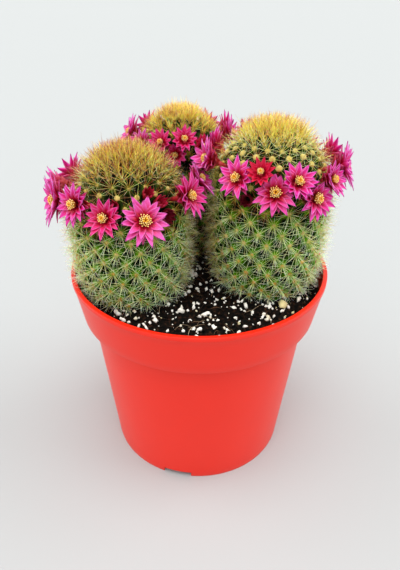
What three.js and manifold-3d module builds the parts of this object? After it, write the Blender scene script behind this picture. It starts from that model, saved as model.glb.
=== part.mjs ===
// Potted round cactus: three spiny stems in flower, standing in soil in a 12 cm nursery pot.
// Units are millimetres and Z is up. The origin is on the pot's axis, on the surface that the foot stands on.
// Azimuths are in degrees, counted from +X towards +Y, so the front of the plant is at -90.

import * as THREE from "three";
import { mergeVertices } from "three/addons/utils/BufferGeometryUtils.js";
import Module from "manifold-3d";

// Driving dimensions

const GAP = 0.35; // clearance between separate pieces
const WELD = 1e-4; // vertices closer than this are one

const POT = {
  height: 100,
  rimRadius: 60,
  lipHeight: 2,
  lipWidth: 2,
  collarHeight: 21,
  collarFootRadius: 56.3,
  shoulderRadius: 52.3,
  footRadius: 44.2,
  footWidth: 1.8,
  footHeight: 3.2,
  wall: 1.3,
  sides: 40,
};
const NOTCH = { count: 3, width: 14, height: 2.8, firstAzimuth: -103 };
const DRAIN = { count: 4, radius: 4.5, ring: 27, sides: 8 };

const SOIL = { level: 92, bump: 0.8, bumpRate: 0.31, sides: 24, topRings: [46, 32, 16, 0], rootDepth: 8 };
const PERLITE = { count: 30, smallest: 1.2, largest: 2.4, sunk: 0.3, outerRing: 53, fromStem: 3.9, seed: 11 };

// Each bloom is [azimuth, height, diameter, tilt above level, opening] of its face, and each bud is
// [azimuth, height of its seat, tilt above level, length, widest radius].
const STEMS = [
  {
    name: "left",
    x: -30.5,
    y: -8.5,
    radius: 24.5,
    top: 154.6,
    columns: 16,
    ringRadius: 30.5,
    blooms: [
      [-72, 138.5, 20, 34, 82],
      [-101, 140, 16, 30, 68],
      [-125, 143.5, 16.5, 20, 74],
      [-153, 140.5, 19, 12, 68],
      [177, 142, 12, 10, 36],
      [150, 141, 14, 24, 56],
      [126, 139, 14, 22, 64],
      [103, 142.5, 14, 30, 60],
      [-31, 143.5, 17, 24, 70],
      [-7, 146, 14, 36, 66],
    ],
    buds: [
      [-51, 134, 8, 8, 2.1],
      [-64, 143, 42, 8, 1.7],
      [-45, 141, 36, 8.5, 2],
      [-92, 143, 40, 7, 1.6],
    ],
  },
  {
    name: "right",
    x: 31,
    y: 0,
    radius: 24.5,
    top: 163.8,
    columns: 16,
    ringRadius: 29,
    blooms: [
      [-165, 153, 16, 22, 62],
      [-125, 151, 16, 30, 78],
      [-106, 155, 12, 40, 54],
      [-94, 147, 18.5, 32, 80],
      [-77, 151.5, 15.5, 38, 70],
      [-59, 143.5, 18, 16, 76],
      [-41, 149, 14.5, 24, 60],
      [-18, 151, 17, 18, 66],
      [22, 150, 14, 26, 56],
      [50, 148, 14, 24, 70],
      [82, 148, 14, 24, 64],
      [110, 153, 14, 32, 60],
      [149, 152, 14, 28, 60],
    ],
    buds: [
      [-113, 143, 6, 6, 2.6],
      [-91, 152, 30, 6.5, 1.5],
      [-63, 148, 28, 8.5, 2.6],
    ],
  },
  {
    name: "back",
    x: -9.5,
    y: 32,
    radius: 18.5,
    top: 159.8,
    columns: 12,
    ringRadius: 23.5,
    blooms: [
      [-110, 154, 12.5, 40, 56],
      [-84, 156, 12.5, 40, 60],
      [-94, 149, 11, 20, 60],
      [-138, 152, 12.5, 30, 60],
      [-172, 153, 14, 28, 66],
      [137, 151, 12.5, 26, 60],
      [96, 149, 11, 28, 56],
      [57, 151, 12.5, 28, 60],
      [20, 153, 13, 30, 56],
      [-11, 153, 14, 28, 62],
      [-63, 152, 12, 30, 56],
    ],
    buds: [],
  },
];

// A stem's outline, as shares of its radius. Each goes with a height above the soil in the foot, and with a
// depth below the top in the head, where the depth is a share of the radius too.
const FOOT_OUTLINE = [[0.78, -SOIL.rootDepth], [0.85, 1], [0.95, 9], [1, 20]];
const HEAD_OUTLINE = [[1, 1.06], [0.92, 0.67], [0.75, 0.373], [0.5, 0.147], [0.25, 0.035], [0, 0]];
const FOOT = { soleShare: 0.77, neckShare: 0.82, holeShare: 0.85, neckRise: 0.5, holeRise: 3, firstRow: 2 };

const TUBERCLE = { height: 2.2, taper: 0.7, twist: 2.6, crownRadius: 8.5 };
const SPINE = { radius: 0.45, root: 0.9, length: 7, shortest: 2.5, sides: 3, leanOut: 0.95, clear: 1.2 };
const CROWN = { depth: 9, length: 6.6, leanOut: 0.3, rise: 0.4 };
const CAP = { spines: 8, radius: 6.8, sink: 0.5, fall: 0.2, fan: 0.06 };
const FLOWER = { tubeLength: 8, neighbourhood: 26, largeFace: 15, largePetals: 12, smallPetals: 10 };
const PETAL = { thickness: 0.8, rimRadius: 1.7, slimness: 0.15, halfWidth: 0.35, widest: 0.5, droop: 0.06 };
const SECTOR_SHARE = 0.96; // how much of its sector a petal may fill
const LAYERS = { innerLean: 0.72, rootShare: 0.9 };
const STAMEN = { ringShare: 0.8, tall: 2, short: 1.1, heart: 0.7 };
const BUD = { sides: 6, middle: 0.6, clear: 1, neckShare: 0.7, neckRise: 0.3, bellyRise: 0.66 };
const HOLD = 4; // how late a petal begins to bend away from a neighbour: higher is later
const LOOK_STEP = 0.5; // how finely the way of a spine is looked over
const OUTLINE_POINTS = 200;

const COLOURS = {
  pot: 0xee4436,
  soil: 0x2a1d16,
  left: 0x7d8a45,
  right: 0x7f9150,
  back: 0x8a8c42,
  bloom: 0xd81f86,
  bud: 0xa3262c,
};
const ROUGHNESS = { pot: 0.38, soil: 0.95, stem: 0.7, flower: 0.5 };

const wasm = await Module();
wasm.setup();

// Small tools

function seededRandom(seed) {
  let state = seed >>> 0;
  return () => {
    state = (state + 0x6d2b79f5) >>> 0;
    let mixed = Math.imul(state ^ (state >>> 15), state | 1);
    mixed ^= mixed + Math.imul(mixed ^ (mixed >>> 7), mixed | 61);
    return ((mixed ^ (mixed >>> 14)) >>> 0) / 4294967296;
  };
}

function polar(radius, azimuth, z) {
  return new THREE.Vector3(radius * Math.cos(azimuth), radius * Math.sin(azimuth), z);
}

function direction(azimuth, elevation) {
  return polar(Math.cos(elevation), azimuth, Math.sin(elevation));
}

function indexedGeometry(points, triangles) {
  const geometry = new THREE.BufferGeometry().setFromPoints(points);
  geometry.setIndex(triangles);
  return geometry;
}

// A lathe turned about Z.
function turned(profile, sides) {
  const points = profile.map(([r, z]) => new THREE.Vector2(r, z));
  return new THREE.LatheGeometry(points, sides).rotateX(Math.PI / 2);
}

// The same surface with each shared vertex stored once and no collapsed triangles.
function weld(geometry) {
  geometry.deleteAttribute("normal");
  geometry.deleteAttribute("uv");
  const merged = mergeVertices(geometry, WELD);
  const corners = merged.index.array;
  const kept = [];
  for (let i = 0; i < corners.length; i += 3) {
    const [a, b, c] = corners.slice(i, i + 3);
    if (a !== b && b !== c && c !== a) kept.push(a, b, c);
  }
  merged.setIndex(kept);
  return merged;
}

function toSolid(geometry) {
  const welded = weld(geometry);
  const vertProperties = new Float32Array(welded.attributes.position.array);
  const triVerts = new Uint32Array(welded.index.array);
  return new wasm.Manifold(new wasm.Mesh({ numProp: 3, vertProperties, triVerts }));
}

function toGeometry(solid) {
  const mesh = solid.getMesh();
  const geometry = new THREE.BufferGeometry();
  geometry.setAttribute("position", new THREE.BufferAttribute(mesh.vertProperties, 3));
  geometry.setIndex(new THREE.BufferAttribute(mesh.triVerts, 1));
  return geometry;
}

function joinAll(solids) {
  while (solids.length > 1) {
    const pairs = [];
    for (let i = 0; i < solids.length; i += 2) {
      pairs.push(i + 1 < solids.length ? solids[i].add(solids[i + 1]) : solids[i]);
    }
    solids = pairs;
  }
  return solids[0];
}

function piece(name, geometry, colour, roughness) {
  geometry.computeVertexNormals();
  const material = new THREE.MeshStandardMaterial({ color: colour, roughness, metalness: 0 });
  material.flatShading = true;
  const mesh = new THREE.Mesh(geometry, material);
  mesh.name = name;
  return mesh;
}

// Pot

function potOuterRadius(z) {
  const shoulder = POT.height - POT.collarHeight;
  if (z <= shoulder) return THREE.MathUtils.mapLinear(z, 0, shoulder, POT.footRadius, POT.shoulderRadius);
  return THREE.MathUtils.mapLinear(z, shoulder, POT.height, POT.collarFootRadius, POT.rimRadius);
}

function potGeometry() {
  const shoulder = POT.height - POT.collarHeight;
  const ledge = shoulder + POT.wall;
  const floor = POT.footHeight + POT.wall;
  const lip = POT.height - POT.lipHeight;
  const inside = (z) => potOuterRadius(z) - POT.wall;
  let pot = toSolid(turned([
    [0, POT.footHeight],
    [POT.footRadius - POT.footWidth, POT.footHeight],
    [POT.footRadius - POT.footWidth, 0],
    [POT.footRadius, 0],
    [POT.shoulderRadius, shoulder],
    [POT.collarFootRadius, shoulder],
    [potOuterRadius(lip), lip],
    [POT.rimRadius, lip],
    [POT.rimRadius, POT.height],
    [POT.rimRadius - POT.lipWidth, POT.height],
    [inside(lip), lip],
    [inside(ledge), ledge],
    [inside(shoulder), ledge],
    [inside(floor), floor],
    [0, floor],
  ], POT.sides));
  for (let i = 0; i < NOTCH.count; i++) {
    const azimuth = THREE.MathUtils.degToRad(NOTCH.firstAzimuth + (360 / NOTCH.count) * i);
    const block = new THREE.BoxGeometry(POT.footWidth * 4, NOTCH.width, NOTCH.height * 2);
    block.rotateZ(azimuth);
    block.translate(POT.footRadius * Math.cos(azimuth), POT.footRadius * Math.sin(azimuth), 0);
    pot = pot.subtract(toSolid(block));
  }
  for (let i = 0; i < DRAIN.count; i++) {
    const place = polar(DRAIN.ring, (Math.PI / 2) * (i + 0.5), floor);
    const drill = new THREE.CylinderGeometry(DRAIN.radius, DRAIN.radius, POT.wall * 4, DRAIN.sides);
    pot = pot.subtract(toSolid(drill.rotateX(Math.PI / 2).translate(place.x, place.y, place.z)));
  }
  return toGeometry(pot);
}

// Stem bodies

function stemOutline(stem) {
  const foot = FOOT_OUTLINE.map(([share, rise]) => new THREE.Vector2(share * stem.radius, SOIL.level + rise));
  const head = HEAD_OUTLINE.map(([share, drop]) => {
    return new THREE.Vector2(share * stem.radius, stem.top - drop * stem.radius);
  });
  return new THREE.SplineCurve([...foot, ...head]);
}

// The radius of the widest part of a stem above a height.
function widthAbove(stem, height) {
  const above = stemOutline(stem).getPoints(OUTLINE_POINTS).filter((point) => point.y > height);
  return Math.max(0, ...above.map((point) => point.x));
}

// The lattice's rows up the stem. A row is as far from the next as half a column is wide, so the tubercles
// stay square and shrink towards the crown.
function latticeRows(stem) {
  const outline = stemOutline(stem);
  outline.arcLengthDivisions = 400;
  const length = outline.getLength();
  const rows = [];
  let along = 0;
  while (along < length) {
    const place = outline.getPointAt(along / length);
    const tangent = outline.getTangentAt(along / length);
    if (rows.length && place.x < TUBERCLE.crownRadius) break;
    if (place.y > SOIL.level + FOOT.firstRow) {
      rows.push({ r: place.x, z: place.y, normalR: tangent.y, normalZ: -tangent.x });
      along += (Math.PI * place.x) / stem.columns;
    } else {
      along += LOOK_STEP;
    }
  }
  return rows;
}

// Each ring of the lattice alternates tubercle tips and the valleys between them, a half step apart from the
// ring below. Returns the rings of points and lists of the tips and valleys with their outward normals.
function stemLattice(stem) {
  const around = stem.columns * 2;
  const tips = [];
  const valleys = [];
  const rings = latticeRows(stem).map((row, i) => {
    const depth = TUBERCLE.height * Math.pow(row.r / stem.radius, TUBERCLE.taper);
    const ring = [];
    for (let k = 0; k < around; k++) {
      const azimuth = (k * Math.PI) / stem.columns + THREE.MathUtils.degToRad(TUBERCLE.twist * i);
      const isTip = (i + k) % 2 === 0;
      const offset = isTip ? 0 : -depth;
      const point = polar(row.r + offset * row.normalR, azimuth, row.z + offset * row.normalZ);
      const normal = polar(row.normalR, azimuth, row.normalZ);
      (isTip ? tips : valleys).push({ point, normal, azimuth });
      ring.push(point);
    }
    return ring;
  });
  return { rings, tips, valleys };
}

// The skin of tubercles, closed by a plain foot that stands in the soil. Each triangle has one corner that is
// a tip or, on the foot, stands where one would.
function stemSkin(stem, rings) {
  const around = stem.columns * 2;
  const foot = [[FOOT.soleShare, GAP - SOIL.rootDepth], [FOOT.neckShare, FOOT.neckRise]];
  const plain = foot.map(([share, rise]) => rings[0].map((point) => {
    return polar(share * stem.radius, Math.atan2(point.y, point.x), SOIL.level + rise);
  }));
  const all = [...plain, ...rings];
  const points = [...all.flat(), new THREE.Vector3(0, 0, plain[0][0].z), new THREE.Vector3(0, 0, stem.top)];
  const [sole, apex] = [points.length - 2, points.length - 1];
  const at = (ring, k) => ring * around + (k % around);
  const triangles = [];
  for (let k = 0; k < around; k++) {
    triangles.push([sole, at(0, k + 1), at(0, k)]);
    triangles.push([apex, at(all.length - 1, k), at(all.length - 1, k + 1)]);
  }
  for (let ring = 0; ring + 1 < all.length; ring++) {
    for (let k = 0; k < around; k++) {
      const [a, b, c, d] = [at(ring, k), at(ring, k + 1), at(ring + 1, k + 1), at(ring + 1, k)];
      const tipAtA = (ring - plain.length + k) % 2 === 0;
      triangles.push(...(tipAtA ? [[a, b, d], [b, c, d]] : [[a, b, c], [a, c, d]]));
    }
  }
  return { points, triangles };
}

// Draws each tubercle's tip out into its spine: the four faces at the tip are cut back by a spine's radius,
// and the spine's four sides rise from the cut. The map gives the spine's point for each tip that has one.
function drawOutSpines({ points, triangles }, spinePoints) {
  const cuts = new Map();
  const cutAt = (tip, neighbour) => {
    const key = `${tip} ${neighbour}`;
    if (!cuts.has(key)) {
      const away = points[neighbour].clone().sub(points[tip]).setLength(SPINE.radius);
      cuts.set(key, points.push(away.add(points[tip])) - 1);
    }
    return cuts.get(key);
  };
  const drawn = [];
  for (const triangle of triangles) {
    const corner = triangle.findIndex((index) => spinePoints.has(points[index]));
    if (corner < 0) {
      drawn.push(...triangle);
      continue;
    }
    const [tip, a, b] = [0, 1, 2].map((step) => triangle[(corner + step) % 3]);
    const [cutA, cutB] = [cutAt(tip, a), cutAt(tip, b)];
    drawn.push(cutA, a, b, cutA, b, cutB, tip, cutA, cutB);
  }
  return indexedGeometry(points.map((point) => spinePoints.get(point) ?? point), drawn);
}

// Places of blooms and buds, all in the frame of the whole plant

function toWorld(stem, point) {
  return new THREE.Vector3(point.x + stem.x, point.y + stem.y, point.z);
}

function nearestFreeValley(valleys, wish) {
  let best = null;
  for (const valley of valleys) {
    if (valley.taken) continue;
    if (!best || valley.point.distanceTo(wish) < best.point.distanceTo(wish)) best = valley;
  }
  best.taken = true;
  return best;
}

function seatOn(stem, valley) {
  return toWorld(stem, valley.point).addScaledVector(valley.normal, GAP);
}

function placeFlowers(stem, lattice) {
  const places = [];
  stem.blooms.forEach(([azimuth, height, diameter, tilt, opening], i) => {
    const turn = THREE.MathUtils.degToRad(azimuth);
    const axis = direction(turn, THREE.MathUtils.degToRad(tilt));
    const face = polar(stem.ringRadius, turn, height);
    const wish = face.clone().addScaledVector(axis, -FLOWER.tubeLength);
    const seat = seatOn(stem, nearestFreeValley(lattice.valleys, wish));
    const home = toWorld(stem, face);
    const name = `bloom_${stem.name}_${i + 1}`;
    places.push({ kind: "bloom", stem, name, axis, home, seat, size: diameter / 2, opening });
  });
  stem.buds.forEach(([azimuth, height, tilt, length, radius], i) => {
    const turn = THREE.MathUtils.degToRad(azimuth);
    const axis = direction(turn, THREE.MathUtils.degToRad(tilt));
    const seat = seatOn(stem, nearestFreeValley(lattice.valleys, polar(stem.radius, turn, height)));
    const home = seat.clone().addScaledVector(axis, length * BUD.middle);
    const name = `bud_${stem.name}_${i + 1}`;
    places.push({ kind: "bud", stem, name, axis, home, seat, size: radius + BUD.clear, length, radius });
  });
  return places;
}

// How far a flower may reach from its home towards each neighbour and each other stem.
function reachLimits(place, places) {
  const limits = [];
  for (const other of places) {
    const apart = other.home.distanceTo(place.home);
    if (other === place || apart > FLOWER.neighbourhood) continue;
    const share = place.size / (place.size + other.size);
    const normal = other.home.clone().sub(place.home).divideScalar(apart);
    limits.push({ normal, reach: (apart - GAP) * share });
  }
  for (const stem of STEMS) {
    const width = widthAbove(stem, place.home.z - place.size);
    if (stem === place.stem || width === 0) continue;
    const normal = new THREE.Vector3(stem.x - place.home.x, stem.y - place.home.y, 0);
    const apart = normal.length();
    limits.push({ normal: normal.divideScalar(apart), reach: apart - width - GAP });
  }
  return limits;
}

// Bends a point back towards home wherever it would pass a limit.
function bentClear(point, home, limits) {
  const bent = point.clone();
  for (const { normal, reach } of limits) {
    const along = bent.clone().sub(home).dot(normal);
    if (along > 0) bent.addScaledVector(normal, along / (1 + (along / reach) ** HOLD) ** (1 / HOLD) - along);
  }
  return bent;
}

// Blooms

// One closed surface: a tube that rises from the seat, petals in two alternating layers from its rim, and a
// ring of stamens standing in the middle.
function bloomGeometry(place, limits) {
  const count = place.size * 2 >= FLOWER.largeFace ? FLOWER.largePetals : FLOWER.smallPetals;
  const turn = new THREE.Quaternion().setFromUnitVectors(new THREE.Vector3(0, 0, 1), place.axis);
  const slot = (2 * Math.PI) / count;
  const length = place.size - PETAL.rimRadius / 2;
  const fullWidth = place.size * PETAL.slimness + PETAL.halfWidth;
  const local = [];
  const ring = (radius, height) => {
    const first = local.length;
    for (let k = 0; k < count; k++) local.push(polar(radius, slot * (k - 0.5), height(k)));
    return (k) => first + (k % count);
  };
  const under = ring(PETAL.rimRadius, () => -PETAL.thickness);
  const rim = ring(PETAL.rimRadius, () => 0);
  const stamens = ring(PETAL.rimRadius * STAMEN.ringShare, (k) => (k % 2 ? STAMEN.tall : STAMEN.short));
  const heart = local.push(new THREE.Vector3(0, 0, STAMEN.heart)) - 1;
  const triangles = [];
  for (let k = 0; k < count; k++) {
    const isInner = k % 2 === 1;
    const lean = THREE.MathUtils.degToRad(place.opening * (isInner ? LAYERS.innerLean : 1));
    const azimuth = slot * k;
    const out = direction(azimuth, Math.PI / 2 - lean);
    const side = direction(azimuth + Math.PI / 2, 0);
    const up = out.clone().cross(side);
    const root = polar(PETAL.rimRadius * LAYERS.rootShare, azimuth, -PETAL.thickness / 2);
    const middle = root.clone().addScaledVector(out, length * PETAL.widest);
    const tip = root.clone().addScaledVector(out, length).addScaledVector(up, -length * PETAL.droop);
    const room = Math.hypot(middle.x, middle.y) * Math.tan(slot / 2) * SECTOR_SHARE;
    const halfWidth = Math.min(fullWidth, room);
    const first = local.length;
    local.push(
      middle.clone().addScaledVector(side, -halfWidth),
      middle.clone().addScaledVector(side, halfWidth),
      tip,
      middle.clone().addScaledVector(up, PETAL.thickness / 2),
      middle.clone().addScaledVector(up, -PETAL.thickness / 2),
    );
    const [right, left, end, top, bottom] = [0, 1, 2, 3, 4].map((i) => first + i);
    const [underA, underB, rimA, rimB] = [under(k), under(k + 1), rim(k), rim(k + 1)];
    const topLoop = [rimB, rimA, right, end, left];
    const bottomLoop = [underA, underB, left, end, right];
    for (let i = 0; i < topLoop.length; i++) {
      triangles.push(top, topLoop[i], topLoop[(i + 1) % topLoop.length]);
      triangles.push(bottom, bottomLoop[i], bottomLoop[(i + 1) % bottomLoop.length]);
    }
    triangles.push(rimA, underA, right, underB, rimB, left);
    triangles.push(rimA, rimB, stamens(k + 1), rimA, stamens(k + 1), stamens(k));
    triangles.push(stamens(k), stamens(k + 1), heart);
  }
  const points = local.map((p) => bentClear(p.applyQuaternion(turn).add(place.home), place.home, limits));
  const seat = points.push(place.seat.clone()) - 1;
  for (let k = 0; k < count; k++) triangles.push(seat, under(k + 1), under(k));
  return indexedGeometry(points.map((p) => p.sub(place.seat)), triangles);
}

// Buds

function budGeometry(place, limits) {
  const { length, radius } = place;
  const neck = [radius * BUD.neckShare, length * BUD.neckRise];
  const shape = turned([[0, 0], neck, [radius, length * BUD.bellyRise], [0, length]], BUD.sides);
  const turn = new THREE.Quaternion().setFromUnitVectors(new THREE.Vector3(0, 0, 1), place.axis);
  const spindle = weld(shape.applyQuaternion(turn));
  const position = spindle.attributes.position;
  for (let i = 0; i < position.count; i++) {
    const point = new THREE.Vector3().fromBufferAttribute(position, i);
    if (point.length() < WELD) continue;
    const bent = bentClear(point.add(place.seat), place.home, limits).sub(place.seat);
    position.setXYZ(i, bent.x, bent.y, bent.z);
  }
  return spindle;
}

// Spines

// Is a point of the plant inside the room that a flower takes up?
function insideFlower(point, place) {
  const from = point.clone().sub(place.home);
  if (place.kind === "bud") return from.length() < place.length * BUD.middle + SPINE.clear;
  const along = from.dot(place.axis);
  const across = Math.sqrt(Math.max(0, from.lengthSq() - along * along));
  const slope = 1 / Math.tan(THREE.MathUtils.degToRad(place.opening));
  const floor = Math.max(0, across - PETAL.rimRadius) * slope - PETAL.thickness - SPINE.clear;
  const reach = place.size + SPINE.clear;
  const tube = place.seat.clone().sub(place.home);
  const share = THREE.MathUtils.clamp(from.dot(tube) / tube.lengthSq(), 0, 1);
  const fromTube = from.distanceTo(tube.multiplyScalar(share));
  const inDish = across < reach && along > floor && along < reach;
  return inDish || fromTube < PETAL.rimRadius * (1 - share) + SPINE.clear;
}

function isFree(point, stem, places) {
  if (point.z < SOIL.level + SOIL.bump + SPINE.clear) return false;
  const fromAxis = Math.hypot(point.x, point.y);
  const inPot = point.z < POT.height + SPINE.clear;
  if (inPot && fromAxis > potOuterRadius(point.z) - POT.lipWidth - SPINE.clear) return false;
  for (const other of STEMS) {
    if (other === stem) continue;
    const way = new THREE.Vector2(other.x - stem.x, other.y - stem.y);
    const apart = way.length();
    const towards = new THREE.Vector2(point.x - stem.x, point.y - stem.y).dot(way) / apart;
    if (towards > (apart + stem.radius - other.radius) / 2 - GAP) return false;
  }
  return !places.some((place) => insideFlower(point, place));
}

// The part of a spine's length that stays clear of everything else.
function clearLength(start, along, length, stem, places) {
  let reach = 0;
  while (reach < length) {
    const next = Math.min(reach + LOOK_STEP, length);
    if (!isFree(start.clone().addScaledVector(along, next), stem, places)) return reach - LOOK_STEP;
    reach = next;
  }
  return length;
}

function spineSolid(start, along, length) {
  const whole = length + SPINE.root;
  const cone = new THREE.ConeGeometry(SPINE.radius, whole, SPINE.sides, 1);
  cone.translate(0, whole / 2 - SPINE.root, 0);
  cone.applyQuaternion(new THREE.Quaternion().setFromUnitVectors(new THREE.Vector3(0, 1, 0), along));
  return toSolid(cone.translate(start.x, start.y, start.z));
}

// A spine's way from its tubercle: on the wall they lean in turn to every side, and near the crown they stand
// up and out.
function spineDirection(stem, tip, turn) {
  const side = direction(tip.azimuth + Math.PI / 2, 0);
  const up = tip.normal.clone().cross(side);
  const lean = side.multiplyScalar(Math.cos(turn)).addScaledVector(up, Math.sin(turn));
  const onCrown = tip.point.z > stem.top - CROWN.depth;
  const along = tip.normal.clone().addScaledVector(lean, onCrown ? CROWN.leanOut : SPINE.leanOut);
  if (onCrown) along.z += CROWN.rise;
  return { along: along.normalize(), length: onCrown ? CROWN.length : SPINE.length };
}

function stemGeometry(stem, lattice, places) {
  const golden = Math.PI * (3 - Math.sqrt(5));
  const spinePoints = new Map();
  lattice.tips.forEach((tip, i) => {
    const { along, length } = spineDirection(stem, tip, golden * i);
    const reach = clearLength(toWorld(stem, tip.point), along, length, stem, places);
    if (reach >= SPINE.shortest) spinePoints.set(tip.point, tip.point.clone().addScaledVector(along, reach));
  });
  const body = toSolid(drawOutSpines(stemSkin(stem, lattice.rings), spinePoints));
  const cap = [];
  for (let i = 0; i < CAP.spines; i++) {
    const radius = CAP.radius * Math.sqrt((i + 0.5) / CAP.spines);
    const start = polar(radius, golden * i, stem.top - CAP.sink - CAP.fall * radius);
    cap.push(spineSolid(start, direction(golden * i, Math.PI / 2 - radius * CAP.fan), CROWN.length));
  }
  return toGeometry(joinAll([body, ...cap]));
}

// Soil

function soilHeight(x, y) {
  const wave = Math.sin(x * SOIL.bumpRate + 1) * Math.cos(y * SOIL.bumpRate);
  return SOIL.level + SOIL.bump * wave;
}

function soilBodyGeometry() {
  const shoulder = POT.height - POT.collarHeight;
  const ledge = shoulder + POT.wall + GAP;
  const floor = POT.footHeight + POT.wall + GAP;
  const inside = (z) => potOuterRadius(z) - POT.wall - GAP;
  const edge = inside(SOIL.level);
  const top = SOIL.topRings.map((r) => [r, SOIL.level]);
  const geometry = weld(turned([
    [0, floor],
    [inside(floor), floor],
    [inside(shoulder), ledge],
    [inside(ledge), ledge],
    [edge, SOIL.level],
    ...top,
  ], SOIL.sides));
  const position = geometry.attributes.position;
  for (let i = 0; i < position.count; i++) {
    if (position.getZ(i) < SOIL.level - WELD) continue;
    position.setZ(i, soilHeight(position.getX(i), position.getY(i)));
  }
  return geometry;
}

function stemHole(stem) {
  const grow = 1 / Math.cos(Math.PI / SOIL.sides);
  const profile = [
    [0, SOIL.level - SOIL.rootDepth],
    [(stem.radius * FOOT.soleShare + GAP) * grow, SOIL.level - SOIL.rootDepth],
    [(stem.radius * FOOT.holeShare + GAP) * grow, SOIL.level + FOOT.holeRise],
    [0, SOIL.level + FOOT.holeRise],
  ];
  return toSolid(turned(profile, SOIL.sides).translate(stem.x, stem.y, 0));
}

// Perlite grains, each sunk in the soil's surface where a plumb line from above meets it.
function perliteGrains(ground) {
  const random = seededRandom(PERLITE.seed);
  const surface = new THREE.Mesh(ground);
  const plumb = new THREE.Raycaster();
  const down = new THREE.Vector3(0, 0, -1);
  const grains = [];
  while (grains.length < PERLITE.count) {
    const radius = THREE.MathUtils.lerp(PERLITE.smallest, PERLITE.largest, random() ** 2);
    const place = polar(PERLITE.outerRing * Math.sqrt(random()), 2 * Math.PI * random(), 0);
    const angles = new THREE.Euler(Math.PI * random(), Math.PI * random(), Math.PI * random());
    const spin = new THREE.Quaternion().setFromEuler(angles);
    const clear = STEMS.every((stem) => {
      const apart = Math.hypot(place.x - stem.x, place.y - stem.y);
      return apart > stem.radius * FOOT.neckShare + PERLITE.fromStem;
    });
    if (!clear) continue;
    const grain = new THREE.OctahedronGeometry(radius).applyQuaternion(spin);
    plumb.set(place.setZ(POT.height), down);
    const level = plumb.intersectObject(surface)[0].point.z;
    grain.translate(place.x, place.y, level + radius * PERLITE.sunk);
    grains.push(toSolid(grain));
  }
  return grains;
}

function soilGeometry() {
  const ground = soilBodyGeometry();
  let soil = joinAll([toSolid(ground), ...perliteGrains(ground)]);
  for (const stem of STEMS) soil = soil.subtract(stemHole(stem));
  return toGeometry(soil);
}

// The whole plant

const plant = new THREE.Group();
plant.name = "potted_round_cactus";
plant.add(piece("pot", potGeometry(), COLOURS.pot, ROUGHNESS.pot));
plant.add(piece("soil", soilGeometry(), COLOURS.soil, ROUGHNESS.soil));

const lattices = new Map(STEMS.map((stem) => [stem, stemLattice(stem)]));
const places = STEMS.flatMap((stem) => placeFlowers(stem, lattices.get(stem)));

for (const stem of STEMS) {
  const shape = stemGeometry(stem, lattices.get(stem), places);
  const mesh = piece(`stem_${stem.name}`, shape, COLOURS[stem.name], ROUGHNESS.stem);
  mesh.position.set(stem.x, stem.y, 0);
  plant.add(mesh);
}

for (const place of places) {
  const limits = reachLimits(place, places);
  const shape = place.kind === "bloom" ? bloomGeometry(place, limits) : budGeometry(place, limits);
  const mesh = piece(place.name, shape, COLOURS[place.kind], ROUGHNESS.flower);
  mesh.position.copy(place.seat);
  plant.add(mesh);
}

export default plant;
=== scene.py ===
"""Potted round cactus: three spiny stems in flower, in soil in a 12 cm nursery pot.

Sizes are in millimetres, Z is up, and azimuths are in degrees from +X towards +Y, so the plant's front is at
-90. Each piece is modelled in millimetres, in the plant's own frame, and turned to metres when it is done.
"""

import logging
import math
from bisect import bisect_right
from collections.abc import Callable, Iterable, Sequence
from dataclasses import dataclass, field
from enum import Enum
from random import Random

import bmesh
import bpy
from bmesh.types import BMEdge, BMesh, BMVert
from bpy.types import Material, Node, NodeSocket, NodeTree, Object
from mathutils import Euler, Matrix, Vector, noise


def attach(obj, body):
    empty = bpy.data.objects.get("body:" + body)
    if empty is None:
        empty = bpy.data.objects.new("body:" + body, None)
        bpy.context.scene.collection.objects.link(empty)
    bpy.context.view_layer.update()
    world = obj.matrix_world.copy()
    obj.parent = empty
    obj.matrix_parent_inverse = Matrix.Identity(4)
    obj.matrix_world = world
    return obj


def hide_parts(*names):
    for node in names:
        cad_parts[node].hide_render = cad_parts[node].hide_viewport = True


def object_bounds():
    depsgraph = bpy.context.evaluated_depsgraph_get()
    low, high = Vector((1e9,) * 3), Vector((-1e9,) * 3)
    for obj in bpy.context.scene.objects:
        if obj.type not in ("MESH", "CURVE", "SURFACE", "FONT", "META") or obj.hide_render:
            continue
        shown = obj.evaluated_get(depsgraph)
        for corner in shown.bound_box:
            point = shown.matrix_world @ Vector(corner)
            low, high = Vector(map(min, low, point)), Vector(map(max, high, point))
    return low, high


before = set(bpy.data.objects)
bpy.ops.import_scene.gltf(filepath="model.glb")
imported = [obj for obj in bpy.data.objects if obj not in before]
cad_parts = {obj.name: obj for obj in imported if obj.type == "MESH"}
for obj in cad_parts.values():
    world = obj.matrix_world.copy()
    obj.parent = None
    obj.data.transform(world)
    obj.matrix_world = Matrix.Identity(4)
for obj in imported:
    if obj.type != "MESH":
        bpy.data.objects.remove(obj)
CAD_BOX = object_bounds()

log = logging.getLogger("cactus")

MM = 0.001
UP = Vector((0, 0, 1))
GOLDEN_ANGLE = math.pi * (3 - math.sqrt(5))
BOX_LOW = Vector(CAD_BOX[0]) / MM
BOX_HIGH = Vector(CAD_BOX[1]) / MM
GAP = 0.35  # clearance between separate pieces
WELD = 0.007  # points closer than this are one
BOX_MARGIN = 0.15  # how far pieces stay inside the object's box
BEND_START = 0.2  # the share of its reach from which a petal bends away from a limit
BEND_POWER = 4  # how suddenly it does so
PETAL_VALUES = ("along", "across", "pale", "fresh", "scale", "wither")  # what petals carry for their colour

Shape = Callable[[Vector], Vector]
Limit = tuple[Vector, float]
Range = tuple[float, float]
Ramp = tuple[tuple[float, str], ...]  # places from 0 to 1, each with its colour
Inputs = dict[str | int, object]  # values or sockets for a node's inputs, by the input's name or number


# Small tools


def mix(a: float, b: float, share: float) -> float:
    """Returns the value that lies the given share of the way from a to b."""
    return a + (b - a) * share


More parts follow.
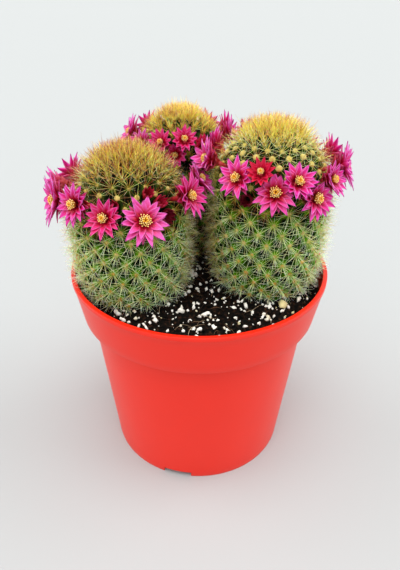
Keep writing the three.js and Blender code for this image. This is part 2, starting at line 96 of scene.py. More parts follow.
def smooth_step(low: float, high: float, value: float) -> float:
    """Returns 0 below low and 1 above high, with a smooth rise between them."""
    share = clamped((value - low) / (high - low))
    return share * share * (3 - 2 * share)


def polar(radius: float, azimuth: float, z: float) -> Vector:
    """Returns the point at a radius, an azimuth in radians and a height."""
    return Vector((radius * math.cos(azimuth), radius * math.sin(azimuth), z))


def direction(azimuth: float, elevation: float) -> Vector:
    """Returns the unit vector at an azimuth and an elevation, both in radians."""
    return polar(math.cos(elevation), azimuth, math.sin(elevation))


def clamped(value: float) -> float:
    """Returns the value, kept between 0 and 1."""
    return min(1.0, max(0.0, value))


def aimed(way: Vector) -> Matrix:
    """Returns the turn from straight up to a direction."""
    return UP.rotation_difference(way).to_matrix().to_4x4()


def stretched(x: float, y: float, z: float) -> Matrix:
    """Returns the stretch by a factor along each axis."""
    return Matrix.Diagonal((x, y, z, 1))


def spun(draw: Random) -> Matrix:
    """Returns a turn round the upright axis by any angle."""
    return Matrix.Rotation(draw.uniform(0, math.tau), 4, "Z")


def seeded_random(seed: int) -> Callable[[], float]:
    """Makes the 32-bit generator by which the grains of perlite are scattered.

    Args:
        seed: The generator's first state.

    Returns:
        A function that draws the next number from 0 to 1.
    """
    word = 0xFFFFFFFF
    state = seed & word

    def draw() -> float:
        """Returns the next number."""
        nonlocal state
        state = (state + 0x6D2B79F5) & word
        mixed = ((state ^ (state >> 15)) * (state | 1)) & word
        mixed ^= (mixed + (((mixed ^ (mixed >> 7)) * (mixed | 61)) & word)) & word
        return (mixed ^ (mixed >> 14)) / (word + 1)

    return draw


def bent_clear(point: Vector, home: Vector, limits: Iterable[Limit]) -> Vector:
    """Bends a point of a flower back towards its middle wherever it would pass a limit.

    Args:
        point: The point where the flower alone would have it.
        home: The middle of the flower.
        limits: Directions, each with how far the flower may reach along it.

    Returns:
        The point as it lies among the flower's neighbours.
    """
    bent = point.copy()
    for normal, reach in limits:
        along = (bent - home).dot(normal)
        if along > BEND_START * reach:
            bent += normal * (along / (1 + (along / reach) ** BEND_POWER) ** (1 / BEND_POWER) - along)
    return bent


def blank_shape(values: Sequence[str] = ()) -> BMesh:
    """Makes an empty shape.

    Args:
        values: Names of the numbers that its points will carry.

    Returns:
        The shape.
    """
    shape = bmesh.new()
    for name in values:
        shape.verts.layers.float.new(name)
    return shape


def turn_round(shape: BMesh, line: Sequence[BMVert], steps: int) -> None:
    """Turns a section round the upright axis into a closed body.

    Args:
        shape: The shape that holds the section's points, and no others.
        line: Those points, from the axis round to the axis.
        steps: The number of its sides.
    """
    for start, end in zip(line, line[1:]):
        shape.edges.new((start, end))
    section = shape.verts[:] + shape.edges[:]
    bmesh.ops.spin(shape, geom=section, cent=(0, 0, 0), axis=UP, angle=math.tau, steps=steps, use_merge=True)
    bmesh.ops.remove_doubles(shape, verts=shape.verts[:], dist=WELD)
    bmesh.ops.recalc_face_normals(shape, faces=shape.faces[:])


def ball(detail: int) -> BMesh:
    """Returns a ball of unit radius."""
    shape = bmesh.new()
    bmesh.ops.create_icosphere(shape, subdivisions=detail, radius=1)
    return shape


def tapered_thread(sides: int, cuts: Sequence[float], point: float, bend: float = 0.0) -> BMesh:
    """Makes a thread of unit length and unit radius that stands on the origin.

    Args:
        sides: The number of its sides.
        cuts: Where along it more rings lie.
        point: The share of its radius that is left at its end.
        bend: How far its end is off its axis, as a share of its length.

    Returns:
        The shape, with its length from 0 to 1 carried as "along".
    """
    shape = bmesh.new()
    bmesh.ops.create_cone(shape, cap_ends=True, segments=sides, radius1=1, radius2=point, depth=1)
    bmesh.ops.translate(shape, vec=(0, 0, 0.5), verts=shape.verts[:])
    for cut in cuts:
        geometry = shape.verts[:] + shape.edges[:] + shape.faces[:]
        bmesh.ops.bisect_plane(shape, geom=geometry, plane_co=(0, 0, cut), plane_no=UP)
    layer = shape.verts.layers.float.new("along")
    for vertex in shape.verts:
        vertex[layer] = vertex.co.z
        vertex.co.x += bend * vertex.co.z ** 2
    return shape


class Stamp:
    """A small mesh that is set down many times in a larger one."""

    def __init__(self, source: BMesh, values: Sequence[str] = ()) -> None:
        """Keeps the shape.

        Args:
            source: The shape, which is freed here.
            values: Names of the numbers that each copy carries on its points.
        """
        for name in values:
            if name not in source.verts.layers.float:
                source.verts.layers.float.new(name)
        self.mesh = bpy.data.meshes.new("stamp")
        source.to_mesh(self.mesh)
        source.free()
        self.rest = [vertex.co.copy() for vertex in self.mesh.vertices]

    def place(self, target: BMesh, shape: Matrix | Shape, **values: float) -> None:
        """Sets one copy down.

        Args:
            target: The mesh that takes the copy.
            shape: Where each point of the stamp goes.
            values: The copy's own numbers, by name.
        """
        move = shape.__matmul__ if isinstance(shape, Matrix) else shape
        self.mesh.vertices.foreach_set("co", [c for point in self.rest for c in move(point)])
        for name, value in values.items():
            self.mesh.attributes[name].data.foreach_set("value", [value] * len(self.rest))
        target.from_mesh(self.mesh)

    def discard(self) -> None:
        """Removes the stamp from the file."""
        bpy.data.meshes.remove(self.mesh)


def into_scene(name: str, shape: BMesh) -> Object:
    """Turns a shape into an object of the scene.

    Args:
        name: The object's name.
        shape: The shape, which is freed here.

    Returns:
        The object.
    """
    mesh = bpy.data.meshes.new(name)
    shape.to_mesh(mesh)
    shape.free()
    made = bpy.data.objects.new(name, mesh)
    bpy.context.scene.collection.objects.link(made)
    return made


def finish_piece(name: str, shape: BMesh, material: Material, node: str) -> Object:
    """Turns a shape in millimetres into a piece of the plant.

    Args:
        name: The piece's name.
        shape: Its shape, which is freed here.
        material: Its finish.
        node: The plain solid that the piece stands for.

    Returns:
        The piece, riding on the plant.
    """
    piece = into_scene(name, shape)
    mesh = piece.data
    mesh.transform(Matrix.Scale(MM, 4))
    mesh.shade_smooth()
    mesh.materials.append(material)
    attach(piece, "root")
    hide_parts(node)
    triangles = sum(len(face.vertices) - 2 for face in mesh.polygons)
    log.info("%s: %d triangles", name, triangles)
    return piece


# Materials


def linear(colour: str) -> tuple[float, float, float, float]:
    """Turns an sRGB hex colour into linear RGBA."""
    parts = [int(colour[i:i + 2], 16) / 255 for i in (1, 3, 5)]
    red, green, blue = (c / 12.92 if c <= 0.04045 else ((c + 0.055) / 1.055) ** 2.4 for c in parts)
    return red, green, blue, 1.0


def fill(tree: NodeTree, node: Node, inputs: Inputs) -> None:
    """Sets a node's inputs.

    Args:
        tree: The node tree.
        node: The node.
        inputs: What they get.
    """
    for name, value in inputs.items():
        if isinstance(value, NodeSocket):
            tree.links.new(value, node.inputs[name])
        else:
            node.inputs[name].default_value = value


def add(
    tree: NodeTree, kind: str, inputs: Inputs | None = None, output: int | str = 0, stops: Ramp = (),
    **settings: object,
) -> NodeSocket:
    """Adds a node with its settings and links.

    Args:
        tree: The node tree.
        kind: The kind of shader node.
        inputs: What its inputs get.
        output: The name or number of the output that is wanted.
        stops: The colours of a colour ramp.
        settings: The node's own settings.

    Returns:
        The output.
    """
    node = tree.nodes.new("ShaderNode" + kind)
    for name, value in settings.items():
        setattr(node, name, value)
    for index, (place, colour) in enumerate(stops):
        ramp = node.color_ramp.elements
        stop = ramp[index] if index < 2 else ramp.new(place)
        stop.position = place
        stop.color = linear(colour)
    fill(tree, node, inputs or {})
    return node.outputs[output]


@dataclass(frozen=True)
class Finish:
    """What all finishes share: a shader, a relief, and a texture space in millimetres."""

    name: str
    roughness: float = 0.5
    gloss: float = 0.5
    relief: Range = (0.0, 0.0)  # depth in millimetres, and how much of it shows

    def start(self) -> tuple[NodeTree, NodeSocket]:
        """Makes the material.

        Returns:
            Its node tree and its coordinates in millimetres.
        """
        material = bpy.data.materials.new(self.name)
        material.use_nodes = True
        tree = material.node_tree
        place = add(tree, "TexCoord", output="Object")
        return tree, add(tree, "Mapping", {0: place, "Scale": (1 / MM, 1 / MM, 1 / MM)})

    def finished(
        self, tree: NodeTree, colour: object, height: NodeSocket | None = None, **inputs: object
    ) -> Material:
        """Sets the shader.

        Args:
            tree: The material's node tree.
            colour: The base colour, or the socket that gives it.
            height: The relief, from 0 to 1.
            inputs: The shader's other inputs, with underscores for the spaces of their names.

        Returns:
            The material.
        """
        named = {name.replace("_", " "): value for name, value in inputs.items()}
        named |= {"Base Color": colour, "Roughness": self.roughness, "Specular IOR Level": self.gloss}
        if height:
            depth, strength = self.relief
            bump = {"Height": height, "Distance": depth * MM, "Strength": strength}
            named["Normal"] = add(tree, "Bump", bump)
        fill(tree, tree.nodes["Principled BSDF"], named)
        return bpy.data.materials[self.name]

    @staticmethod
    def shaded(
        tree: NodeTree, colour: NodeSocket, number: NodeSocket, values: Range, least: float = 0.0
    ) -> NodeSocket:
        """Makes a colour darker and lighter.

        Args:
            tree: The node tree.
            colour: The colour.
            number: What darkens it, up to 1.
            values: The factors on its brightness where the number is least, and where it is 1.
            least: The number's least value.

        Returns:
            The colour, darker and lighter.
        """
        factor = add(tree, "MapRange", {0: number, 1: least, 3: values[0], 4: values[1]})
        return add(tree, "HueSaturation", {"Color": colour, "Value": factor})


@dataclass(frozen=True)
class MouldedPolypropylene(Finish):
    """Injection-moulded polypropylene: an even orange-red, satin, with a faint mottle from the mould."""

    roughness: float = 0.35
    gloss: float = 0.55
    relief: Range = (0.05, 0.25)
    refraction: float = 1.49
    colour: str = "#e22b15"
    shade: str = "#dd2812"
    mottle: float = 0.6  # millimetres, drawn coarser than it is so that it shows
    waves: float = 14.0  # millimetres

    def make(self) -> Material:
        """Returns the material."""
        tree, place = self.start()
        broad = add(tree, "TexNoise", {"Vector": place, "Scale": 1 / self.waves, "Detail": 2.0})
        fine = add(tree, "TexNoise", {"Vector": place, "Scale": 1 / self.mottle, "Detail": 3.0})
        tones = {0: broad, 6: linear(self.colour), 7: linear(self.shade)}
        hue = add(tree, "Mix", tones, output=2, data_type="RGBA")
        return self.finished(tree, hue, fine, IOR=self.refraction)


@dataclass(frozen=True)
class PeatMix(Finish):
    """Damp peat-based potting mix: near-black brown crumbs with a few redder shreds of bark."""

    roughness: float = 0.9
    gloss: float = 0.2
    relief: Range = (0.8, 0.6)
    grain: float = 1.6  # millimetres
    tones: Ramp = ((0.34, "#030201"), (0.5, "#0e0906"), (0.6, "#26170e"), (0.7, "#4a2f1e"))

    def make(self) -> Material:
        """Returns the material."""
        tree, place = self.start()
        crumbs = add(tree, "TexNoise", {"Vector": place, "Scale": 1 / self.grain, "Detail": 5.0})
        return self.finished(tree, add(tree, "ValToRGB", {0: crumbs}, stops=self.tones), crumbs)


@dataclass(frozen=True)
class ExpandedPerlite(Finish):
    """Expanded perlite: chalk-white glass foam, some grains stained a pale yellow."""

    roughness: float = 0.85
    relief: Range = (0.3, 0.5)
    pores: float = 0.5  # millimetres
    tones: Ramp = ((0.0, "#f4f1ea"), (0.6, "#ebe7dc"), (0.85, "#e2d9c0"), (1.0, "#ddd09c"))

    def make(self) -> Material:
        """Returns the material."""
        tree, place = self.start()
        tint = add(tree, "Attribute", output="Fac", attribute_name="tint")
        pores = add(tree, "TexVoronoi", {"Vector": place, "Scale": 1 / self.pores}, "Distance")
        return self.finished(tree, add(tree, "ValToRGB", {0: tint}, stops=self.tones), pores)


@dataclass(frozen=True)
class StemSkin(Finish):
    """Living skin of the stem: waxy leaf green on the tubercles, with painted shade in the folds between them
    and near the crown.
    """

    roughness: float = 0.55
    gloss: float = 0.12
    relief: Range = (0.15, 0.4)
    fleck: float = 0.7  # millimetres
    # painted shade: by the tubercles' rise, near black in the folds and lightest on the tips
    wall: Ramp = ((0.0, "#030500"), (0.34, "#162a02"), (0.62, "#467206"), (1.0, "#80b61c"))
    # painted shade near the crown: a darker ramp that the skin's youth mixes in
    young: Ramp = ((0.0, "#060702"), (0.4, "#161e05"), (0.75, "#38500c"), (1.0, "#68842a"))
    brightness: Range = (0.75, 1.25)

    def make(self) -> Material:
        """Returns the material."""
        tree, place = self.start()
        # the rise and the youth carry the painted shade of the folds and of the crown
        rise, youth = (
            add(tree, "Attribute", output="Fac", attribute_name=name) for name in ("rise", "youth")
        )
        wall, young = (add(tree, "ValToRGB", {0: rise}, stops=tones) for tones in (self.wall, self.young))
        hue = add(tree, "Mix", {0: youth, 6: wall, 7: young}, output=2, data_type="RGBA")
        flecks = add(tree, "TexNoise", {"Vector": place, "Scale": 1 / self.fleck, "Detail": 3.0})
        return self.finished(tree, self.shaded(tree, hue, flecks, self.brightness), flecks)


@dataclass(frozen=True)
class SpineHorn(Finish):
    """Dry horn of the spines: cream on the wall of the stem and golden on its crown, browner to the point."""

    roughness: float = 0.45
    wall: Ramp = ((0.0, "#cad85c"), (0.25, "#e0ec94"), (0.6, "#f4f7cc"), (0.92, "#fcf6dc"), (1.0, "#c09a54"))
    crown: Ramp = ((0.0, "#fcf8b4"), (0.3, "#f6e878"), (0.7, "#ebd050"), (0.88, "#cc8c3c"), (1.0, "#94502a"))
    rarity: float = 0.4  # the lower, the fewer spines of the crown are brown for most of their length
    browning: Range = (0.7, -0.2)  # how far the brown end moves down the brownest spine and the palest one
    brightness: Range = (0.72, 1.2)

    def make(self) -> Material:
        """Returns the material."""
        tree, _ = self.start()
        along, tint, gold = (
            add(tree, "Attribute", output="Fac", attribute_name=name) for name in ("along", "tint", "gold")
        )
        paleness = add(tree, "Math", {0: tint, 1: self.rarity}, operation="POWER")
        shift = add(tree, "MapRange", {0: paleness, 3: self.browning[0], 4: self.browning[1]})
        ripeness = add(tree, "Math", {0: along, 1: shift})
        wall = add(tree, "ValToRGB", {0: along}, stops=self.wall)
        crown = add(tree, "ValToRGB", {0: ripeness}, stops=self.crown)
        hue = add(tree, "Mix", {0: gold, 6: wall, 7: crown}, output=2, data_type="RGBA")
        shade = self.shaded(tree, hue, tint, self.brightness)
        return self.finished(tree, shade, Subsurface_Weight=0.4, Subsurface_Scale=0.5 * MM)


@dataclass(frozen=True)
class AreoleWool(Finish):
    """Short wool of the areoles: cream while young, and ochre where it is old and worn."""

    roughness: float = 0.95
    relief: Range = (0.3, 0.8)
    curl: float = 0.35  # millimetres, drawn coarser than it is so that it shows
    tones: Ramp = ((0.0, "#d4c068"), (0.35, "#dfce86"), (0.65, "#d8b45c"), (1.0, "#c69a3a"))
    brightness: Range = (0.62, 1.3)

    def make(self) -> Material:
        """Returns the material."""
        tree, place = self.start()
        age = add(tree, "Attribute", output="Fac", attribute_name="age")
        curls = add(tree, "TexNoise", {"Vector": place, "Scale": 1 / self.curl, "Detail": 2.0})
        hue = add(tree, "ValToRGB", {0: age}, stops=self.tones)
        return self.finished(tree, self.shaded(tree, hue, curls, self.brightness), curls, Sheen_Weight=0.3)


@dataclass(frozen=True)
class PetalTissue(Finish):
    """Petals: thin silky tissue, crimson in the throat and magenta beyond it, with pale margins and veins."""

    roughness: float = 0.42
    length: Ramp = (
        (0.0, "#9c0220"), (0.38, "#b60836"), (0.55, "#d00a6e"), (0.86, "#d21c9c"), (1.0, "#a02080"),
    )
    margin: str = "#dc8ccc"
    margin_power: float = 3.5  # the higher, the narrower the pale margin
    margin_start: Range = (0.35, 0.75)  # shares of the length between which the pale margin sets in
    margin_strength: float = 0.85
    fresh: str = "#c4032f"
    withered: str = "#5a0f1c"
    underside: str = "#b03a3c"
    vein_rate: float = 22.0  # radians of the veins' wave from the midrib to the margin
    brightness: Range = (0.88, 1.08)

    def make(self) -> Material:
        """Returns the material."""
        tree, _ = self.start()
        along, across, pale, *others = (
            add(tree, "Attribute", output="Fac", attribute_name=name) for name in PETAL_VALUES
        )
        start, end = self.margin_start
        edge = add(tree, "Math", {0: across, 1: self.margin_power}, operation="POWER")
        most = add(tree, "Math", {0: edge, 1: pale}, operation="MAXIMUM")
        reach = add(tree, "MapRange", {0: along, 1: start, 2: end, 4: self.margin_strength})
        margin = add(tree, "Math", {0: most, 1: reach}, operation="MULTIPLY")
        hue = add(tree, "ValToRGB", {0: along}, stops=self.length)
        colours = (self.margin, self.fresh, self.underside, self.withered)
        for share, colour in zip((margin, *others), colours):
            hue = add(tree, "Mix", {0: share, 6: hue, 7: linear(colour)}, output=2, data_type="RGBA")
        veins = add(tree, "Math", {0: across, 1: self.vein_rate}, operation="MULTIPLY")
        stripes = add(tree, "Math", {0: veins}, operation="SINE")
        return self.finished(
            tree, self.shaded(tree, hue, stripes, self.brightness, least=-1.0),
            Subsurface_Weight=0.25, Subsurface_Radius=(1.0, 0.3, 0.6), Subsurface_Scale=0.8 * MM,
        )


@dataclass(frozen=True)
class StamenTissue(Finish):
    """Stamens and stigma: yellow threads with mealy, pale anthers at their ends."""

    roughness: float = 0.7
    tones: Ramp = ((0.0, "#c9432f"), (0.35, "#e8a02c"), (0.7, "#f0c844"), (1.0, "#f6dc9c"))

    def make(self) -> Material:
        """Returns the material."""
        tree, _ = self.start()
        along = add(tree, "Attribute", output="Fac", attribute_name="along")
        hue = add(tree, "ValToRGB", {0: along}, stops=self.tones)
        return self.finished(tree, hue, Subsurface_Weight=0.1, Subsurface_Scale=0.4 * MM)


@dataclass(frozen=True)
class DryRoot(Finish):
    """Fine dry roots and bark fibres: pale brown threads."""

    roughness: float = 0.8
    tones: Ramp = ((0.0, "#3a261b"), (0.5, "#8c6a4c"), (1.0, "#d8c3a2"))

    def make(self) -> Material:
        """Returns the material."""
        tree, _ = self.start()
        tint = add(tree, "Attribute", output="Fac", attribute_name="tint")
        return self.finished(tree, add(tree, "ValToRGB", {0: tint}, stops=self.tones))


@dataclass(frozen=True)
class StudioPaper(Finish):
    """The pale paper that the pot stands on, with a barely visible tooth."""

    roughness: float = 0.9
    relief: Range = (0.05, 0.2)
    colour: str = "#a9abab"
    tooth: float = 1.25  # millimetres, drawn coarser than it is so that it shows

    def make(self) -> Material:
        """Returns the material."""
        tree, place = self.start()
        tooth = add(tree, "TexNoise", {"Vector": place, "Scale": 1 / self.tooth, "Detail": 2.0})
        return self.finished(tree, linear(self.colour), tooth)


class Finishes:
    """Every finish of the plant, made once."""

    def __init__(self) -> None:
        """Makes them."""
        self.pot = MouldedPolypropylene("moulded_polypropylene").make()
        self.soil = PeatMix("peat_mix").make()
        self.perlite = ExpandedPerlite("expanded_perlite").make()
        self.skin = StemSkin("stem_skin").make()
        self.horn = SpineHorn("spine_horn").make()
        self.wool = AreoleWool("areole_wool").make()
        self.petal = PetalTissue("petal_tissue").make()
        self.stamen = StamenTissue("stamen_tissue").make()
        self.root = DryRoot("dry_root").make()
        self.paper = StudioPaper("studio_paper").make()


# Pot


@dataclass
class Pot:
    """The moulded nursery pot: a tapered wall, a stepped collar and a lip, on a foot ring with notches."""

    height: float = 100
    rim_radius: float = 60
    lip_height: float = 2
    lip_width: float = 2
    collar_height: float = 21
    collar_foot_radius: float = 56.3
    shoulder_radius: float = 52.3
    foot_radius: float = 44.2
    foot_width: float = 1.8
    foot_height: float = 3.2
    wall: float = 1.3
    steps: int = 180
    rounding: float = 0.5
    rounding_steps: int = 3
    rounded_from: float = 25  # degrees by which the section turns at a corner that is rounded
    sharp_from: float = 28  # degrees from which a corner is drawn sharp
    support: float = 4  # how far from its ends each long side of the section has one more ring
    notches: int = 3
    notch_width: float = 14
    notch_height: float = 2.8
    first_notch: float = -103
    drains: int = 4
    drain_radius: float = 4.5
    drain_ring: float = 27

    @property
    def shoulder(self) -> float:
        """Returns the height at which the wall steps out into the collar."""
        return self.height - self.collar_height

    def outer_radius(self, z: float) -> float:
        """Returns the radius of the outside at a height."""
        if z <= self.shoulder:
            return mix(self.foot_radius, self.shoulder_radius, z / self.shoulder)
        return mix(self.collar_foot_radius, self.rim_radius, (z - self.shoulder) / self.collar_height)

    def inside(self, z: float) -> float:
        """Returns the radius of the inside at a height."""
        return self.outer_radius(z) - self.wall

    def outline(self) -> list[tuple[float, float]]:
        """Returns the section of the pot as radii and heights, from its underside round to its floor."""
        ledge = self.shoulder + self.wall
        floor = self.foot_height + self.wall
        lip = self.height - self.lip_height
        inner_foot = self.foot_radius - self.foot_width
        corners = [
            (0, self.foot_height), (inner_foot, self.foot_height), (inner_foot, 0), (self.foot_radius, 0),
            (self.shoulder_radius, self.shoulder), (self.collar_foot_radius, self.shoulder),
            (self.outer_radius(lip), lip), (self.rim_radius, lip), (self.rim_radius, self.height),
            (self.rim_radius - self.lip_width, self.height), (self.inside(lip), lip),
            (self.inside(ledge), ledge), (self.inside(self.shoulder), ledge), (self.inside(floor), floor),
            (0, floor),
        ]
        points = corners[:1]
        for start, end in zip(corners, corners[1:]):
            near = self.support / math.dist(start, end)
            if near < 1 / 4:
                points += [(mix(start[0], end[0], t), mix(start[1], end[1], t)) for t in (near, 1 - near)]
            points.append(end)
        return points

    def cutters(self) -> BMesh:
        """Returns the blocks and drills that open the foot's notches and the drains."""
        shape = bmesh.new()
        for i in range(self.notches):
            turn = math.radians(self.first_notch + 360 / self.notches * i)
            size = stretched(self.foot_width * 4, self.notch_width, self.notch_height * 2)
            place = Matrix.Translation(polar(self.foot_radius, turn, 0))
            bmesh.ops.create_cube(shape, size=1, matrix=place @ Matrix.Rotation(turn, 4, "Z") @ size)
        for i in range(self.drains):
            place = polar(self.drain_ring, math.tau / self.drains * (i + 0.5), self.foot_height)
            bmesh.ops.create_cone(
                shape, cap_ends=True, segments=32, radius1=self.drain_radius, radius2=self.drain_radius,
                depth=self.wall * 4, matrix=Matrix.Translation(place),
            )
        return shape

    def shell(self) -> BMesh:
        """Returns the pot's wall, turned from its section, with its rings rounded."""
        shape = bmesh.new()
        turn_round(shape, [shape.verts.new((r, 0, z)) for r, z in self.outline()], self.steps)
        shape.normal_update()
        rings = [edge for edge in shape.edges if self.is_rounded(edge)]
        bmesh.ops.bevel(
            shape, geom=rings, offset=self.rounding, segments=self.rounding_steps, profile=0.5,
            affect="EDGES", material=-1, clamp_overlap=True,
        )
        return shape

    def is_rounded(self, edge: BMEdge) -> bool:
        """Returns whether an edge lies along a ring, on a corner of the section."""
        start, end = (vertex.co for vertex in edge.verts)
        is_level = abs(start.z - end.z) < WELD and abs(start.xy.length - end.xy.length) < WELD
        return is_level and edge.calc_face_angle(0) > math.radians(self.rounded_from)

    def build(self, finishes: Finishes) -> None:
        """Makes the pot.

        Args:
            finishes: The plant's finishes.
        """
        blank = into_scene("pot_blank", self.shell())
        cutters = into_scene("pot_cutters", self.cutters())
        cut = blank.modifiers.new("cut", "BOOLEAN")
        cut.operation = "DIFFERENCE"
        cut.solver = "EXACT"
        cut.object = cutters
        graph = bpy.context.evaluated_depsgraph_get()
        shape = bmesh.new()
        shape.from_mesh(blank.evaluated_get(graph).to_mesh())
        for spare in (blank, cutters):
            bpy.data.objects.remove(spare)
        piece = finish_piece("pot_shell", shape, finishes.pot, "pot")
        piece.data.set_sharp_from_angle(angle=math.radians(self.sharp_from))


# Lattice of tubercles


@dataclass(frozen=True)
class StemSpec:
    """Where a stem stands, its size, and its flowers.

    A bloom is (azimuth, height, diameter, tilt above level, opening) of its face, and a bud is (azimuth,
    height of its seat, tilt above level, length, widest radius).
    """

    name: str
    x: float
    y: float
    radius: float
    top: float
    columns: int
    ring_radius: float
    seed: int
    young_wool: float  # radius of the woolly pads below the crown
    gold_fade: Range  # depths below the top between which the gold of the crown turns pale
    rust: float  # how many of the young spines are browner, from 1 up
    wall_spines: float  # length of the spines on the wall
    crown_spines: float  # length of the spines on the crown
    crown_density: float  # factor on the number of spines of each areole of the crown
    young_centrals: int  # spines that stand up from each areole just below the crown
    blooms: tuple[tuple[float, float, float, float, float], ...]
    buds: tuple[tuple[float, float, float, float, float], ...] = ()

    @property
    def foot(self) -> Vector:
        """Returns the point of the plant's frame that the stem's axis stands on."""
        return Vector((self.x, self.y, 0))


STEMS = (
    StemSpec(
        "left", x=-30.5, y=-8.5, radius=24.5, top=154.6, columns=16, ring_radius=30.5, seed=3,
        young_wool=1.15, gold_fade=(4, 11), rust=1.85, wall_spines=10.2, crown_spines=7.8,
        crown_density=1.25, young_centrals=6,
        blooms=(
            (-72, 138.5, 20, 34, 82),
            (-101, 140, 16, 30, 68),
            (-125, 143.5, 16.5, 20, 74),
            (-153, 140.5, 19, 12, 68),
            (177, 142, 12, 10, 36),
            (150, 141, 14, 24, 56),
            (126, 139, 14, 22, 64),
            (103, 142.5, 14, 30, 60),
            (-31, 143.5, 17, 24, 70),
            (-7, 146, 14, 36, 66),
        ),
        buds=(
            (-51, 134, 8, 8, 2.1),
            (-64, 143, 42, 8, 1.7),
            (-45, 141, 36, 8.5, 2),
            (-92, 143, 40, 7, 1.6),
        ),
    ),
    StemSpec(
        "right", x=31, y=0, radius=24.5, top=163.8, columns=16, ring_radius=29, seed=5,
        young_wool=1.35, gold_fade=(2.5, 7), rust=0.75, wall_spines=9.2, crown_spines=7.2,
        crown_density=1.2, young_centrals=3,
        blooms=(
            (-165, 153, 16, 22, 62),
            (-125, 151, 16, 30, 78),
            (-106, 155, 12, 40, 54),
            (-94, 147, 18.5, 32, 80),
            (-77, 151.5, 15.5, 38, 70),
            (-59, 143.5, 18, 16, 76),
            (-41, 149, 14.5, 24, 60),
            (-18, 151, 17, 18, 66),
            (22, 150, 14, 26, 56),
            (50, 148, 14, 24, 70),
            (82, 148, 14, 24, 64),
            (110, 153, 14, 32, 60),
            (149, 152, 14, 28, 60),
        ),
        buds=(
            (-113, 143, 6, 6, 2.6),
            (-91, 152, 30, 6.5, 1.5),
            (-63, 148, 28, 8.5, 2.6),
        ),
    ),
    StemSpec(
        "back", x=-9.5, y=32, radius=18.5, top=159.8, columns=12, ring_radius=23.5, seed=8,
        young_wool=0.9, gold_fade=(13, 20), rust=0.45, wall_spines=7.0, crown_spines=7.0,
        crown_density=2.1, young_centrals=4,
        blooms=(
            (-110, 154, 12.5, 40, 56),
            (-84, 156, 12.5, 40, 60),
            (-94, 149, 11, 20, 60),
            (-138, 152, 12.5, 30, 60),
            (-172, 153, 14, 28, 66),
            (137, 151, 12.5, 26, 60),
            (96, 149, 11, 28, 56),
            (57, 151, 12.5, 28, 60),
            (20, 153, 13, 30, 56),
            (-11, 153, 14, 28, 62),
            (-63, 152, 12, 30, 56),
        ),
    ),
)

SOIL_LEVEL = 92

# A stem's outline, as shares of its radius. Each goes with a height above the soil in the foot, and with a
# depth below the top in the head, where the depth is a share of the radius too.
FOOT_OUTLINE = ((0.78, -8), (0.85, 1), (0.95, 9), (1, 20))
HEAD_OUTLINE = ((1, 1.06), (0.92, 0.67), (0.75, 0.373), (0.5, 0.147), (0.25, 0.035), (0, 0))


@dataclass
class Station:
    """A place on a stem's outline, with the direction that faces out there."""

    r: float
    z: float
    out_r: float
    out_z: float


@dataclass
class Seat:
    """A tip of a tubercle or a valley between tubercles."""

    point: Vector
    normal: Vector
    azimuth: float
    taken: bool = False


